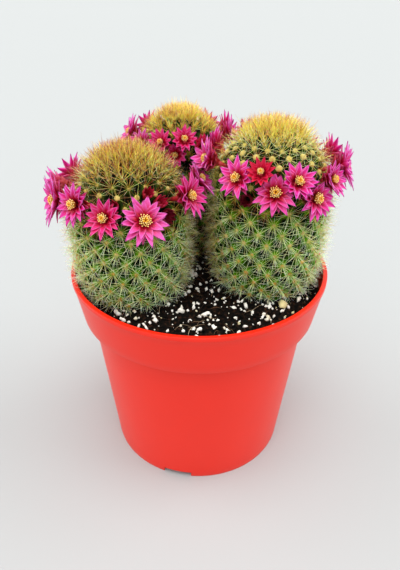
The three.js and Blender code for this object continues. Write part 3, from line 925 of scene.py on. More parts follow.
class Lattice:
    """The rows and columns of tubercles on a stem, and the smooth outline that they stand on."""

    samples = 240  # points of each stretch of the outline's curve
    look_step = 0.5  # steps in which the first row is looked for
    first_row = 2  # how high above the soil it is at least
    seat_depth = 2.2  # how far the flowers' seats lie below the tips
    taper = 0.7  # how little the tubercles shrink towards the crown, from 0 to 1
    twist = math.radians(2.6)  # how far each row is turned from the last
    crown_radius = 8.5  # radius of the growing point, which has no rows

    def __init__(self, spec: StemSpec) -> None:
        """Lays out the stem.

        Args:
            spec: The stem's place and size.
        """
        self.spec = spec
        self.curve = self.sampled_outline()
        self.arcs = [0.0]
        for (r0, z0), (r1, z1) in zip(self.curve, self.curve[1:]):
            self.arcs.append(self.arcs[-1] + math.hypot(r1 - r0, z1 - z0))
        self.length = self.arcs[-1]
        self.rows = self.row_places()
        self.tips, self.valleys = self.seats()

    def sampled_outline(self) -> list[tuple[float, float]]:
        """Returns radii and heights along a smooth curve through the outline's points."""
        spec = self.spec
        knots = [(share * spec.radius, SOIL_LEVEL + rise) for share, rise in FOOT_OUTLINE]
        knots += [(share * spec.radius, spec.top - drop * spec.radius) for share, drop in HEAD_OUTLINE]
        last = len(knots) - 1
        curve = []
        for i in range(last):
            before, start, end, after = (knots[min(last, max(0, i + step))] for step in (-1, 0, 1, 2))
            for j in range(self.samples):
                curve.append(self.curve_point(before, start, end, after, j / self.samples))
        curve.append(knots[last])
        return curve

    @staticmethod
    def curve_point(
        before: tuple[float, float],
        start: tuple[float, float],
        end: tuple[float, float],
        after: tuple[float, float],
        t: float,
    ) -> tuple[float, float]:
        """Works out a point of the smooth curve through four knots.

        Args:
            before: The knot before the stretch.
            start: The knot where the stretch starts.
            end: The knot where it ends.
            after: The knot after it.
            t: The share of the way along the stretch.

        Returns:
            The point's radius and height.
        """
        point = []
        for p0, p1, p2, p3 in zip(before, start, end, after):
            leave, arrive = (p2 - p0) / 2, (p3 - p1) / 2
            cubic = 2 * p1 - 2 * p2 + leave + arrive
            square = 3 * p2 - 3 * p1 - 2 * leave - arrive
            point.append(((cubic * t + square) * t + leave) * t + p1)
        return point[0], point[1]

    def station(self, along: float) -> Station:
        """Finds a place on the outline.

        Args:
            along: Its length along the outline.

        Returns:
            The place.
        """
        along = min(max(along, 0), self.length)
        i = min(bisect_right(self.arcs, along), len(self.arcs) - 1) - 1
        share = (along - self.arcs[i]) / (self.arcs[i + 1] - self.arcs[i])
        (r0, z0), (r1, z1) = self.curve[i], self.curve[i + 1]
        run = math.hypot(r1 - r0, z1 - z0)
        return Station(mix(r0, r1, share), mix(z0, z1, share), (z1 - z0) / run, (r0 - r1) / run)

    def width_above(self, height: float) -> float:
        """Returns the radius of the widest part of the stem above a height."""
        return max((r for r, z in self.curve if z > height), default=0.0)

    def row_places(self) -> list[float]:
        """Returns the length along the outline of each row. A row is half a column's width from the next."""
        rows: list[float] = []
        along = 0.0
        while along < self.length:
            place = self.station(along)
            if rows and place.r < self.crown_radius:
                break
            if place.z > SOIL_LEVEL + self.first_row:
                rows.append(along)
                along += math.pi * place.r / self.spec.columns
            else:
                along += self.look_step
        return rows

    def depth(self, r: float) -> float:
        """Returns how deep the flowers' seats lie below the tips, where the stem has radius r."""
        return self.seat_depth * (r / self.spec.radius) ** self.taper

    def seats(self) -> tuple[list[Seat], list[Seat]]:
        """Returns the tips of the tubercles and the valleys between them, in the plant's frame."""
        tips: list[Seat] = []
        valleys: list[Seat] = []
        for i, along in enumerate(self.rows):
            place = self.station(along)
            for k in range(self.spec.columns * 2):
                azimuth = k * math.pi / self.spec.columns + self.twist * i
                is_tip = (i + k) % 2 == 0
                offset = 0 if is_tip else -self.depth(place.r)
                point = polar(place.r + offset * place.out_r, azimuth, place.z + offset * place.out_z)
                seat = Seat(self.spec.foot + point, polar(place.out_r, azimuth, place.out_z), azimuth)
                (tips if is_tip else valleys).append(seat)
        return tips, valleys

    def row_number(self, along: float) -> float:
        """Returns the row, with a fraction, at a length along the outline."""
        i = min(max(bisect_right(self.rows, along) - 1, 0), len(self.rows) - 2)
        return i + (along - self.rows[i]) / (self.rows[i + 1] - self.rows[i])

    def rise(self, along: float, azimuth: float) -> float:
        """Returns the height of the tubercles there, from 0 in a valley to 1 on a tip."""
        row = self.row_number(along)
        column = (azimuth - self.twist * row) * self.spec.columns / math.pi
        return 0.5 + 0.5 * math.cos(math.pi * row) * math.cos(math.pi * column)

    def take_valley(self, wish: Vector) -> Seat:
        """Finds a seat for a flower, and marks it as taken.

        Args:
            wish: Where the flower would have it.

        Returns:
            The free valley that lies nearest.
        """
        best = min((v for v in self.valleys if not v.taken), key=lambda v: (v.point - wish).length)
        best.taken = True
        return best


# Flowers


@dataclass
class Flower:
    """What blooms and buds share: a middle, a seat on the stem and the room that they take up."""

    name: str
    spec: StemSpec
    axis: Vector
    home: Vector
    seat: Vector
    size: float
    limits: list[Limit] = field(default_factory=list)

    neighbourhood = 26
    mingling = 1.28  # how far petals reach in between those of the next flower
    far_off = 2.5  # limits further off than this, in the flower's size, have no effect
    spine_clearance = 0.5
    rim_radius = 1.7

    def set_limits(self, flowers: Sequence["Flower"], lattices: dict[str, Lattice]) -> None:
        """Works out how far the flower may reach on each side.

        Args:
            flowers: Every flower of the plant.
            lattices: The lattice of each stem, by the stem's name.
        """
        for other in flowers:
            apart = (other.home - self.home).length
            if other is self or apart > self.neighbourhood:
                continue
            share = self.size / (self.size + other.size)
            self.limits.append(((other.home - self.home) / apart, (apart - GAP) * share * self.mingling))
        for stem in STEMS:
            width = lattices[stem.name].width_above(self.home.z - self.size)
            if stem is self.spec or width == 0:
                continue
            way = (stem.foot - self.home) * Vector((1, 1, 0))
            self.limits.append((way.normalized(), way.length - width - GAP))
        for axis, unit in enumerate(Matrix.Identity(3)):
            self.limits.append((unit, BOX_HIGH[axis] - BOX_MARGIN - self.home[axis]))
            self.limits.append((-unit, self.home[axis] - BOX_LOW[axis] - BOX_MARGIN))
        self.limits = [limit for limit in self.limits if limit[1] < self.size * self.far_off]

    def placed(self, point: Vector, start: Vector) -> Vector:
        """Sets a point in its place among the flower's neighbours.

        Args:
            point: The point in the flower's own frame.
            start: Where that frame starts.

        Returns:
            Where the point lies in the plant.
        """
        turned = point.copy()
        turned.rotate(UP.rotation_difference(self.axis))
        return bent_clear(start + turned, self.home, self.limits)

    def holds(self, point: Vector) -> bool:
        """Returns whether a point lies in the room that the flower takes up."""
        raise NotImplementedError

    def build(self, stamps: "FlowerStamps", finishes: Finishes, draw: Random) -> None:
        """Makes the flower's pieces.

        Args:
            stamps: The small shapes that it is made of.
            finishes: The plant's finishes.
            draw: The source of small differences.
        """
        raise NotImplementedError


@dataclass(frozen=True)
class PetalShape:
    """The shape of one petal, before it is set in its flower.

    Its length runs out from the throat. It leaves the throat steeply, turns to its full lean, and its tip
    bends a little further. Places along it are shares of its length, and leans are radians from the axis.
    """

    length: float
    half_width: float
    lean: float
    root_radius: float
    root_height: float = 0.0
    throat_share: float = 0.5  # where it reaches its full lean
    first_lean: float = 0.25  # its lean at the root, as a share of the full one
    curl: float = 0.3  # how far the tip leans beyond the rest
    curl_start: float = 0.55
    cup: float = 0.25  # how high its margins stand, as a share of its half width
    cup_level: float = 0.3
    claw: float = 0.5  # its width at the root, as a share of the widest
    widest: float = 0.5
    point: float = 1.25  # how full it is towards its tip, from 1 for a straight taper
    steps: int = 24

    def width(self, along: float) -> float:
        """Returns half the petal's width at a share of its length."""
        if along < self.widest:
            return self.half_width * mix(self.claw, 1, math.sin(math.pi / 2 * along / self.widest))
        return self.half_width * (1 - ((along - self.widest) / (1 - self.widest)) ** self.point)

    def spine_line(self) -> list[tuple[float, float, float]]:
        """Returns (radius, height, lean) at even steps along the petal."""
        r, z = self.root_radius, self.root_height
        line = []
        for i in range(self.steps + 1):
            share = i / self.steps
            lean = self.lean * mix(self.first_lean, 1, smooth_step(0, self.throat_share, share))
            lean += self.curl * max(0, share - self.curl_start)
            line.append((r, z, lean))
            r += math.sin(lean) * self.length / self.steps
            z += math.cos(lean) * self.length / self.steps
        return line

    def shaper(self, azimuth: float, side_bend: float = 0.0) -> Shape:
        """Returns the move from the flat petal to the petal in its flower.

        Args:
            azimuth: Where the petal stands round the flower's axis.
            side_bend: How far its tip bends to one side, as a share of its length.

        Returns:
            A function from the flat petal, with x across and y along, to the flower's own frame.
        """
        line = self.spine_line()
        out = direction(azimuth, 0)
        side = direction(azimuth + math.pi / 2, 0)

        def shaped(point: Vector) -> Vector:
            """Returns where a point of the flat petal lies."""
            step = point.y * self.steps
            i = min(int(step), self.steps - 1)
            r, z, lean = (mix(a, b, step - i) for a, b in zip(line[i], line[i + 1]))
            upper = UP * math.sin(lean) - out * math.cos(lean)
            width = self.width(point.y)
            rise = self.cup * width * (point.x ** 2 - self.cup_level) + point.z
            sideways = point.x * width + side_bend * self.length * point.y ** 2
            return out * r + UP * z + side * sideways + upper * rise

        return shaped


class PetalStamp(Stamp):
    """A flat petal, 2 wide and 1 long, with a thickness in millimetres, ready to be shaped."""

    faces_across = 4
    faces_along = 8
    thickness = 0.22

    def __init__(self) -> None:
        """Makes the petal."""
        shape = blank_shape(PETAL_VALUES)
        bmesh.ops.create_grid(shape, x_segments=self.faces_across, y_segments=self.faces_along, size=1)
        bmesh.ops.translate(shape, vec=(0, 1, 0), verts=shape.verts[:])
        bmesh.ops.scale(shape, vec=(1, 0.5, 1), verts=shape.verts[:])
        bmesh.ops.solidify(shape, geom=shape.faces[:], thickness=self.thickness)
        bmesh.ops.recalc_face_normals(shape, faces=shape.faces[:])
        layers = shape.verts.layers.float
        for vertex in shape.verts:
            vertex[layers["along"]] = vertex.co.y
            vertex[layers["across"]] = abs(vertex.co.x)
        super().__init__(shape)


@dataclass(frozen=True)
class PetalRing:
    """One ring of petals: their number, and their lean, length and width as shares of the flower's."""

    count: int
    lean: float
    length: float
    width: float
    turn: float = 0.0  # how far the ring is turned, as a share of a petal's room
    drop: float = 0.0  # how far below the other petals they leave the tube
    scale: float = 0.0  # how scale-like their colour is


@dataclass(frozen=True)
class FlowerStamps:
    """The small shapes that all flowers are made of."""

    petal: PetalStamp
    thread: Stamp
    anther: Stamp

    def discard(self) -> None:
        """Removes them from the file."""
        for stamp in (self.petal, self.thread, self.anther):
            stamp.discard()


@dataclass
class Bloom(Flower):
    """An open flower: two rings of petals and two of scales below them, round a ring of stamens."""

    opening: float = 70
    pale: float = 0.0
    fresh: float = 0.0

    rings = (
        PetalRing(11, lean=1.0, length=1.0, width=1.0),
        PetalRing(9, lean=0.8, length=0.84, width=0.95, turn=0.5),
        PetalRing(8, lean=1.12, length=0.8, width=0.75, turn=0.25, drop=0.9, scale=0.5),
        PetalRing(8, lean=0.95, length=0.5, width=0.9, turn=0.6, drop=2.4, scale=0.9),
    )
    lengths = (0.9, 1.04)  # the least and the most of each petal, as shares of its ring's
    widths = (0.88, 1.1)
    leans = (0.92, 1.08)
    curls = (0.0, 0.8)
    cups = (0.35, 0.8)
    side_bends = (-0.08, 0.08)
    side_turns = (-0.07, 0.07)  # how far a petal stands off its even place, in radians
    freshness = (0, 0.12)
    slimness = (0.122, 0.5)  # a petal's half width: a share of the flower's size, and millimetres on top
    fullness = (1.12, 1.4)  # how long petals of front and back flowers are beside the plain solid's
    facing = (-0.8, -0.2)  # the y of the way that the last front flower and the first back flower face
    funnel = 2.6  # how far below the face the petals leave the tube
    funnel_radius = 1.15
    funnel_share = 0.6
    tube_sides = 12
    seat_radius = 0.9
    throat_radius = 1.25
    cup_wall = 0.6
    stamens = 36
    stamen_size = 9.5  # the size of a flower whose stamens have the sizes below
    stamen_roots = (0.4, 1.0)  # radii of the innermost and the outermost stamen's root
    stamen_depth = -0.5
    stamen_ends = (0.9, 2.5)
    stamen_heights = (3.1, 2.2)
    stamen_spread = (0.55, 160)  # the least spread, and the opening in degrees that adds 1 to it
    radius_shares = (0.92, 1.08)  # the least and the most of each stamen
    height_shares = (0.9, 1.1)
    paleness = (0.85, 1.0)
    thread_radius = 0.12
    stigma_lobes = 5
    stigma_end = (0.75, 3.2)
    stigma_radius = 0.17
    stigma_paleness = 0.45
    anther_size = 2.3  # an anther's radius, as a multiple of its thread's
    anther_height = 0.8

    def holds(self, point: Vector) -> bool:
        """Tells whether a spine would stand in the flower.

        Args:
            point: A point of the spine.

        Returns:
            Whether it lies in the flower's cup or its tube.
        """
        offset = point - self.home
        along = offset.dot(self.axis)
        across = math.sqrt(max(0.0, offset.length_squared - along * along))
        slope = 1 / math.tan(math.radians(self.opening))
        floor = max(0.0, across - self.rim_radius) * slope - self.cup_wall - self.spine_clearance
        reach = self.size + self.spine_clearance
        in_funnel = across < self.rim_radius + self.spine_clearance and -self.funnel < along < reach
        return in_funnel or (across < reach and floor < along < reach)

    def petals(self, stamp: PetalStamp, draw: Random) -> BMesh:
        """Makes the petals, the scales and the tube.

        Args:
            stamp: The flat petal.
            draw: The source of small differences.

        Returns:
            The shape, in the plant's frame.
        """
        target = blank_shape(PETAL_VALUES)
        fullness = mix(*self.fullness, smooth_step(*self.facing, self.axis.xy.normalized().y))
        length = (self.size - self.rim_radius / 2) * fullness + self.funnel * self.funnel_share
        width = self.size * self.slimness[0] + self.slimness[1]
        for ring in self.rings:
            for k in range(ring.count):
                petal = PetalShape(
                    length=length * ring.length * draw.uniform(*self.lengths),
                    half_width=width * ring.width * draw.uniform(*self.widths),
                    lean=math.radians(self.opening) * ring.lean * draw.uniform(*self.leans),
                    root_radius=self.funnel_radius,
                    root_height=-self.funnel - ring.drop,
                    curl=draw.uniform(*self.curls),
                    cup=draw.uniform(*self.cups),
                )
                azimuth = math.tau * (k + ring.turn) / ring.count + draw.uniform(*self.side_turns)
                to_flower = petal.shaper(azimuth, draw.uniform(*self.side_bends))
                stamp.place(
                    target, lambda point, move=to_flower: self.placed(move(point), self.home),
                    pale=self.pale, fresh=min(1.0, self.fresh + draw.uniform(*self.freshness)),
                    scale=ring.scale, wither=0.0,
                )
        self.tube(target)
        return target

    def tube(self, target: BMesh) -> None:
        """Makes the tube that carries the flower, from its seat to its throat.

        Args:
            target: The mesh that takes the tube.
        """
        throat = self.home - self.axis * self.funnel
        way = throat - self.seat
        shape = bmesh.new()
        bmesh.ops.create_cone(
            shape, cap_ends=True, segments=self.tube_sides, radius1=self.seat_radius,
            radius2=self.throat_radius, depth=way.length,
            matrix=Matrix.Translation((self.seat + throat) / 2) @ aimed(way),
        )
        stamp = Stamp(shape, PETAL_VALUES)
        stamp.place(target, Matrix.Identity(4), along=0.1, fresh=0.7, scale=0.5)
        stamp.discard()

    def stamen_ring(self, stamps: FlowerStamps, draw: Random) -> BMesh:
        """Makes the stamens and the stigma.

        Args:
            stamps: The shapes of threads and anthers.
            draw: The source of small differences.

        Returns:
            The shape, in the plant's frame.
        """
        target = blank_shape(("along",))
        grow = self.size / self.stamen_size
        least, full = self.stamen_spread
        spread = min(1.0, least + self.opening / full)
        turn = UP.rotation_difference(self.axis)

        def set_thread(root: Vector, end: Vector, thickness: float, colour: float) -> None:
            """Sets down one thread with an anther on its end.

            Args:
                root: Where it starts in the flower's own frame.
                end: Where it ends.
                thickness: Its radius.
                colour: The anther's place on the ramp of colours.
            """
            root.rotate(turn)
            end.rotate(turn)
            foot = Matrix.Translation(root + self.home)
            shape = aimed(end - root) @ stretched(thickness, thickness, (end - root).length)
            stamps.thread.place(target, foot @ shape)
            size = thickness * self.anther_size
            head = Matrix.Translation(end + self.home) @ turn.to_matrix().to_4x4()
            form = stretched(size, size, size * self.anther_height)
            stamps.anther.place(target, head @ form, along=colour)

        for i in range(self.stamens):
            azimuth = GOLDEN_ANGLE * i
            share = i / self.stamens
            radius = grow * spread * mix(*self.stamen_ends, share) * draw.uniform(*self.radius_shares)
            height = grow * mix(*self.stamen_heights, share) * draw.uniform(*self.height_shares)
            root = polar(grow * mix(*self.stamen_roots, share), azimuth, self.stamen_depth)
            end = polar(radius, azimuth, height)
            set_thread(root, end, self.thread_radius * grow, draw.uniform(*self.paleness))
        for i in range(self.stigma_lobes):
            radius, height = self.stigma_end
            end = polar(radius * grow, math.tau * i / self.stigma_lobes, height * grow)
            set_thread(Vector(), end, self.stigma_radius * grow, self.stigma_paleness)
        return target

    def build(self, stamps: FlowerStamps, finishes: Finishes, draw: Random) -> None:
        """Makes the flower's petals and its stamens.

        Args:
            stamps: The small shapes that it is made of.
            finishes: The plant's finishes.
            draw: The source of small differences.
        """
        petals = self.petals(stamps.petal, draw)
        finish_piece(f"{self.name}_petals", petals, finishes.petal, self.name)
        stamens = self.stamen_ring(stamps, draw)
        finish_piece(f"{self.name}_stamens", stamens, finishes.stamen, self.name)


@dataclass(frozen=True)
class BudForm:
    """How the scales of a bud stand and what colour they have.

    A ring is (count, radius, length), the last two as shares of the bud's own.
    """

    rings: tuple[tuple[int, float, float], ...]
    lean: float  # degrees
    curl: float
    half_width: float  # a share of the bud's radius
    fresh: float
    scale: float
    wither: float = 0.0


class BudKind(Enum):
    """How far a bud has come, with the form that it then has."""

    YOUNG = BudForm(((8, 0.5, 1.0), (7, 0.62, 0.9)), 14, -0.9, 0.5, fresh=0.8, scale=0.35)
    OPENING = BudForm(((8, 0.5, 1.0), (7, 0.62, 0.9)), 20, -1.9, 0.62, fresh=0.15, scale=0.1)
    SPENT = BudForm(((9, 0.62, 0.85), (8, 0.5, 0.7)), 26, -2.2, 0.5, fresh=0.8, scale=0.35, wither=0.75)


@dataclass
class Bud(Flower):
    """A bud or a spent flower: closed scales over a spindle."""

    length: float = 8
    radius: float = 2
    kind: BudKind = BudKind.YOUNG

    lengths = (0.92, 1.0)
    side_bends = (-0.05, 0.05)
    withering = (0.7, 1.2)
    root_share = 0.6
    room = 0.45  # radius of the ball that spines keep out of, as a share of the bud's length

    def holds(self, point: Vector) -> bool:
        """Returns whether a point lies in the bud."""
        return (point - self.home).length < self.length * self.room + self.spine_clearance

    def scales(self, stamp: PetalStamp, draw: Random) -> BMesh:
        """Makes the bud.

        Args:
            stamp: The flat petal.
            draw: The source of small differences.

        Returns:
            The shape, in the plant's frame.
        """
        target = blank_shape(PETAL_VALUES)
        form = self.kind.value
        for number, (count, radius_share, length_share) in enumerate(form.rings):
            for k in range(count):
                scale = PetalShape(
                    length=self.length * length_share * draw.uniform(*self.lengths),
                    half_width=self.radius * form.half_width,
                    lean=math.radians(form.lean),
                    root_radius=self.radius * radius_share * self.root_share,
                    throat_share=0.35,
                    first_lean=1.6,
                    curl=form.curl,
                    cup=0.9,
                    claw=0.7,
                    widest=0.45,
                )
                azimuth = math.tau * (k + number / 2) / count
                to_bud = scale.shaper(azimuth, draw.uniform(*self.side_bends))
                stamp.place(
                    target, lambda point, move=to_bud: self.placed(move(point), self.seat),
                    pale=0.0, fresh=form.fresh, scale=form.scale,
                    wither=form.wither * draw.uniform(*self.withering),
                )
        return target

    def build(self, stamps: FlowerStamps, finishes: Finishes, draw: Random) -> None:
        """Makes the bud's scales.

        Args:
            stamps: The small shapes that it is made of.
            finishes: The plant's finishes.
            draw: The source of small differences.
        """
        scales = self.scales(stamps.petal, draw)
        finish_piece(f"{self.name}_scales", scales, finishes.petal, self.name)


@dataclass
class Garland:
    """All the flowers of the plant, placed by the lattices of their stems."""

    lattices: dict[str, Lattice]
    flowers: list[Flower] = field(default_factory=list)

    tube_length = 8
    bud_middle = 0.6  # where a bud's middle lies along it
    bud_clearance = 1
    first_seed = 100
    fresh = {
        "bloom_left_2": 0.35, "bloom_left_9": 0.2, "bloom_right_3": 0.85, "bloom_right_4": 0.1,
        "bloom_back_1": 0.4, "bloom_back_2": 0.4, "bloom_back_3": 0.3, "bloom_back_11": 0.7,
    }
    pale = {
        "bloom_left_1": 0.35, "bloom_left_4": 0.3, "bloom_left_5": 0.4, "bloom_left_10": 0.3,
        "bloom_right_1": 0.2, "bloom_right_4": 0.25, "bloom_right_8": 0.2, "bloom_back_5": 0.25,
    }
    kinds = {"bud_right_1": BudKind.SPENT, "bud_right_3": BudKind.OPENING, "bud_left_1": BudKind.SPENT}

    def __post_init__(self) -> None:
        """Places every flower and works out its limits."""
        for spec in STEMS:
            self.place_on(spec)
        for flower in self.flowers:
            flower.set_limits(self.flowers, self.lattices)

    def place_on(self, spec: StemSpec) -> None:
        """Places the flowers of one stem.

        Args:
            spec: The stem.
        """
        lattice = self.lattices[spec.name]
        for i, (azimuth, height, diameter, tilt, opening) in enumerate(spec.blooms):
            turn = math.radians(azimuth)
            axis = direction(turn, math.radians(tilt))
            home = spec.foot + polar(spec.ring_radius, turn, height)
            valley = lattice.take_valley(home - axis * self.tube_length)
            name = f"bloom_{spec.name}_{i + 1}"
            self.flowers.append(Bloom(
                name, spec, axis, home, valley.point + valley.normal * GAP, diameter / 2, opening=opening,
                fresh=self.fresh.get(name, 0.0), pale=self.pale.get(name, 0.0),
            ))
        for i, (azimuth, height, tilt, length, radius) in enumerate(spec.buds):
            turn = math.radians(azimuth)
            axis = direction(turn, math.radians(tilt))
            valley = lattice.take_valley(spec.foot + polar(spec.radius, turn, height))
            seat = valley.point + valley.normal * GAP
            name = f"bud_{spec.name}_{i + 1}"
            self.flowers.append(Bud(
                name, spec, axis, seat + axis * length * self.bud_middle, seat, radius + self.bud_clearance,
                length=length, radius=radius, kind=self.kinds.get(name, BudKind.YOUNG),
            ))

    def build(self, finishes: Finishes) -> None:
        """Makes every bloom and bud.

        Args:
            finishes: The plant's finishes.
        """
        thread = tapered_thread(sides=3, cuts=(), point=0.6)
        stamps = FlowerStamps(PetalStamp(), Stamp(thread), Stamp(ball(1), ("along",)))
        for i, flower in enumerate(self.flowers):
            flower.build(stamps, finishes, Random(self.first_seed + i))
        stamps.discard()


# Stems


@dataclass
class Areole:
    """The woolly pad on a tubercle's tip, which the spines grow from."""

    point: Vector
    normal: Vector
    side: Vector
    up: Vector
    gold: float  # 1 on the growing point, where young spines are golden, and 0 on the wall
    youth: float  # 1 near the crown, where the wool is thick, and 0 below
    age: float  # 0 where the wool is thick, and 1 at the soil
    stain: float  # 1 where a flower's seat or the next stem is close, and the spines are browner; by the next stem this brown is painted shade
    nearby: list[Flower]

    @property
    def is_on_crown(self) -> bool:
        """Returns whether its spines are the crown's, and not the wall's."""
        return self.gold > 0.5


@dataclass
class Stem:
    """One stem: its skin of tubercles, the wool on their tips, and the spines."""

    spec: StemSpec
    lattice: Lattice
    flowers: Sequence[Flower]
    pot: Pot

    fold_depth: float = 3.6
    fold_power: float = 0.62  # how broad the tubercles are between their folds, less being broader
    flat_rise: float = 0.5  # the height that the skin's colour takes where there are no folds
    foot_calm: Range = (SOIL_LEVEL - 3, SOIL_LEVEL + 2)  # heights between which the folds start
    crown_calm: Range = (3, 9)  # radii between which they end
    steps_per_column: int = 10
    rows_per_step: float = 0.62
    crown_shade_depths: Range = (18, 30)  # depths below the top between which the painted shade near the crown fades and the skin grows lighter

    old_wool: float = 1.1
    wool_fade: Range = (14, 24)  # depths below the top between which the wool thins
    thick_wool: float = 0.3  # youth from which a tuft is drawn finely
    wool_shares: Range = (0.92, 0.6)  # how large the tufts are on the wall and on the growing point
    tuft_sizes: Range = (0.85, 1.15)  # the least and the most of single tufts
    tuft_relief: Range = (0.35, 2.3)  # depth and rate of its lumps
    tuft_height: float = 0.75
    tuft_level: float = 0.2
    tuft_ages: Range = (-0.15, 0.15)

    cap_areoles: int = 34  # on the growing point
    cap_share: float = 0.92
    cap_lean: float = 0.05  # radians by which these areoles lean for each millimetre of radius
    cap_depth: float = 0.3  # how far below the top they start
    cap_fall: float = 0.02  # how fast they go down with the square of the radius

    wall_radials: int = 15
    young_radials: int = 12
    crown_radials: int = 10
    wall_centrals: int = 11
    crown_centrals: int = 6
    central_share: float = 0.78  # how long the central spines of the wall are beside the radial ones
    crown_rise: float = 0.35  # how far the spines of the crown are turned upwards
    central_lifts: tuple[Range, Range] = ((0.75, 1.5), (0.9, 1.5))  # radians, on the wall and on the crown
    radial_lifts: tuple[Range, Range] = ((0.06, 0.6), (0.5, 1.1))
    side_turns: Range = (-0.3, 0.3)  # how far a spine stands off its even place, as a share of its room
    spine_lengths: Range = (0.75, 1.03)
    spine_radius: float = 0.13
    spine_radii: Range = (0.75, 1.25)
    young_slimness: float = 0.65  # how thin the radial spines near the crown are
    crown_stoutness: float = 1.3  # how much thicker the spines of the crown are
    stray_share: float = 0.1  # how many spines of the crown stand out beyond the rest
    stray_length: float = 1.35
    shortest: float = 2  # spines that have less room than this are left out
    spine_bends: tuple[float, ...] = (-0.12, -0.05, 0.0, 0.05, 0.12)
    spine_point: float = 0.12
    spine_lift: float = 0.1
    wall_cuts: tuple[float, ...] = (0.45,)
    crown_cuts: tuple[float, ...] = (0.35, 0.7)
    young_gilding: float = 0.3  # how golden the radial spines near the crown are
    gildings: Range = (-0.3, 0.15)
    seat_and_shade_browning: float = 4  # how much browner spines are near a flower's seat, and where shade from the next stem is painted

    stain_reach: Range = (5.0, 10.5)  # distances from a flower's seat between which the stain ends
    shade_reach: Range = (10, 24)  # distances from the next stem between which the painted shade on the spines ends
    shade_stain: float = 0.75
    near_flower: float = 2  # how far beyond a spine's reach flowers are looked at
    above_soil: float = 0.6
    above_rim: float = 0.5
    off_wall: float = 0.6
    past_middle: float = 1.5  # how far past the middle between two stems a spine may reach
    length_steps: int = 6  # how many lengths are tried

    def skin(self) -> BMesh:
        """Returns the stem's skin, turned from its outline and raised into tubercles."""
        lattice, spec = self.lattice, self.spec
        count = round(lattice.length / self.rows_per_step)
        alongs = [lattice.length * i / count for i in range(count + 1)]
        shape = bmesh.new()
        index = shape.verts.layers.int.new("ring")
        places = [lattice.station(along) for along in alongs]
        line = [shape.verts.new((place.r if i < count else 0, 0, place.z)) for i, place in enumerate(places)]
        sole = shape.verts.new((0, 0, places[0].z))
        sole[index] = -1
        for i, vertex in enumerate(line):
            vertex[index] = i
        turn_round(shape, [sole, *line], spec.columns * self.steps_per_column)
        fold_shade_layer = shape.verts.layers.float.new("rise")
        crown_shade_layer = shape.verts.layers.float.new("youth")
        for vertex in shape.verts:
            i = vertex[index]
            if not 0 <= i < count:
                continue
            place = places[i]
            azimuth = math.atan2(vertex.co.y, vertex.co.x)
            folds = smooth_step(*self.foot_calm, place.z) * smooth_step(*self.crown_calm, place.r)
            rise = lattice.rise(alongs[i], azimuth)
            # painted shade: the rise makes the skin's colour dark in the folds
            vertex[fold_shade_layer] = mix(self.flat_rise, rise, folds)
            # painted shade: the youth darkens the skin near the crown
            vertex[crown_shade_layer] = 1 - smooth_step(*self.crown_shade_depths, spec.top - place.z)
            depth = self.fold_depth * (place.r / spec.radius) ** lattice.taper * folds
            offset = -depth * (1 - rise ** self.fold_power)
            vertex.co += polar(place.out_r, azimuth, place.out_z) * offset
        bmesh.ops.translate(shape, vec=spec.foot, verts=shape.verts[:])
        return shape

    def areole(self, point: Vector, normal: Vector, azimuth: float) -> Areole:
        """Describes one areole.

        Args:
            point: Its place.
            normal: The direction that it faces.
            azimuth: Its azimuth on the stem, in radians.

        Returns:
            The areole, with the flowers that stand near it.
        """
        side = direction(azimuth + math.pi / 2, 0)
        down = self.spec.top - point.z
        gold = 1 - smooth_step(*self.spec.gold_fade, down)
        youth = 1 - smooth_step(*self.wool_fade, down)
        age = smooth_step(self.wool_fade[0], self.spec.top - SOIL_LEVEL, down)
        reach = self.spec.crown_spines + self.near_flower
        nearby = [flower for flower in self.flowers if (flower.home - point).length < flower.size + reach]
        closest = min(((flower.seat - point).length for flower in nearby), default=self.stain_reach[1])
        stain = (1 - smooth_step(*self.stain_reach, closest)) * (1 - gold)
        # painted shade: spines that face the next stem are made browner
        gap = min((point - stem.foot).xy.length - stem.radius for stem in STEMS if stem is not self.spec)
        stain = max(stain, self.shade_stain * (1 - smooth_step(*self.shade_reach, gap)))
        return Areole(point, normal, side, normal.cross(side), gold, youth, age, stain, nearby)

    def areoles(self) -> list[Areole]:
        """Returns every areole of the stem: one on each tip, and more on the growing point."""
        found = [self.areole(tip.point, tip.normal, tip.azimuth) for tip in self.lattice.tips]
        for i in range(self.cap_areoles):
            r = self.lattice.crown_radius * self.cap_share * math.sqrt((i + 0.5) / self.cap_areoles)
            azimuth = GOLDEN_ANGLE * i
            normal = direction(azimuth, math.pi / 2 - r * self.cap_lean)
            height = self.spec.top - self.cap_depth - r * r * self.cap_fall
            point = self.spec.foot + polar(r, azimuth, height)
            found.append(self.areole(point, normal, azimuth))
        return found

    def wool(self, areoles: Sequence[Areole], draw: Random) -> BMesh:
        """Returns the tufts of wool.

        Args:
            areoles: The stem's areoles.
            draw: The source of small differences.

        Returns:
            The shape, in the plant's frame.
        """
        tufts = []
        depth, rate = self.tuft_relief
        for detail in (1, 2):
            shape = ball(detail)
            for vertex in shape.verts:
                vertex.co *= 1 + depth * noise.noise(vertex.co * rate)
            tufts.append(Stamp(shape, ("age",)))
        target = blank_shape(("age",))
        for areole in areoles:
            size = mix(self.old_wool, self.spec.young_wool, areole.youth)
            size *= mix(*self.wool_shares, areole.gold) * draw.uniform(*self.tuft_sizes)
            place = Matrix.Translation(areole.point + areole.normal * size * self.tuft_level)
            turn = Matrix((areole.side, areole.up, areole.normal)).transposed().to_4x4()
            shape = spun(draw) @ stretched(size, size, size * self.tuft_height)
            tuft = tufts[1 if areole.youth > self.thick_wool else 0]
            tuft.place(target, place @ turn @ shape, age=clamped(areole.age + draw.uniform(*self.tuft_ages)))
        for tuft in tufts:
            tuft.discard()
        return target

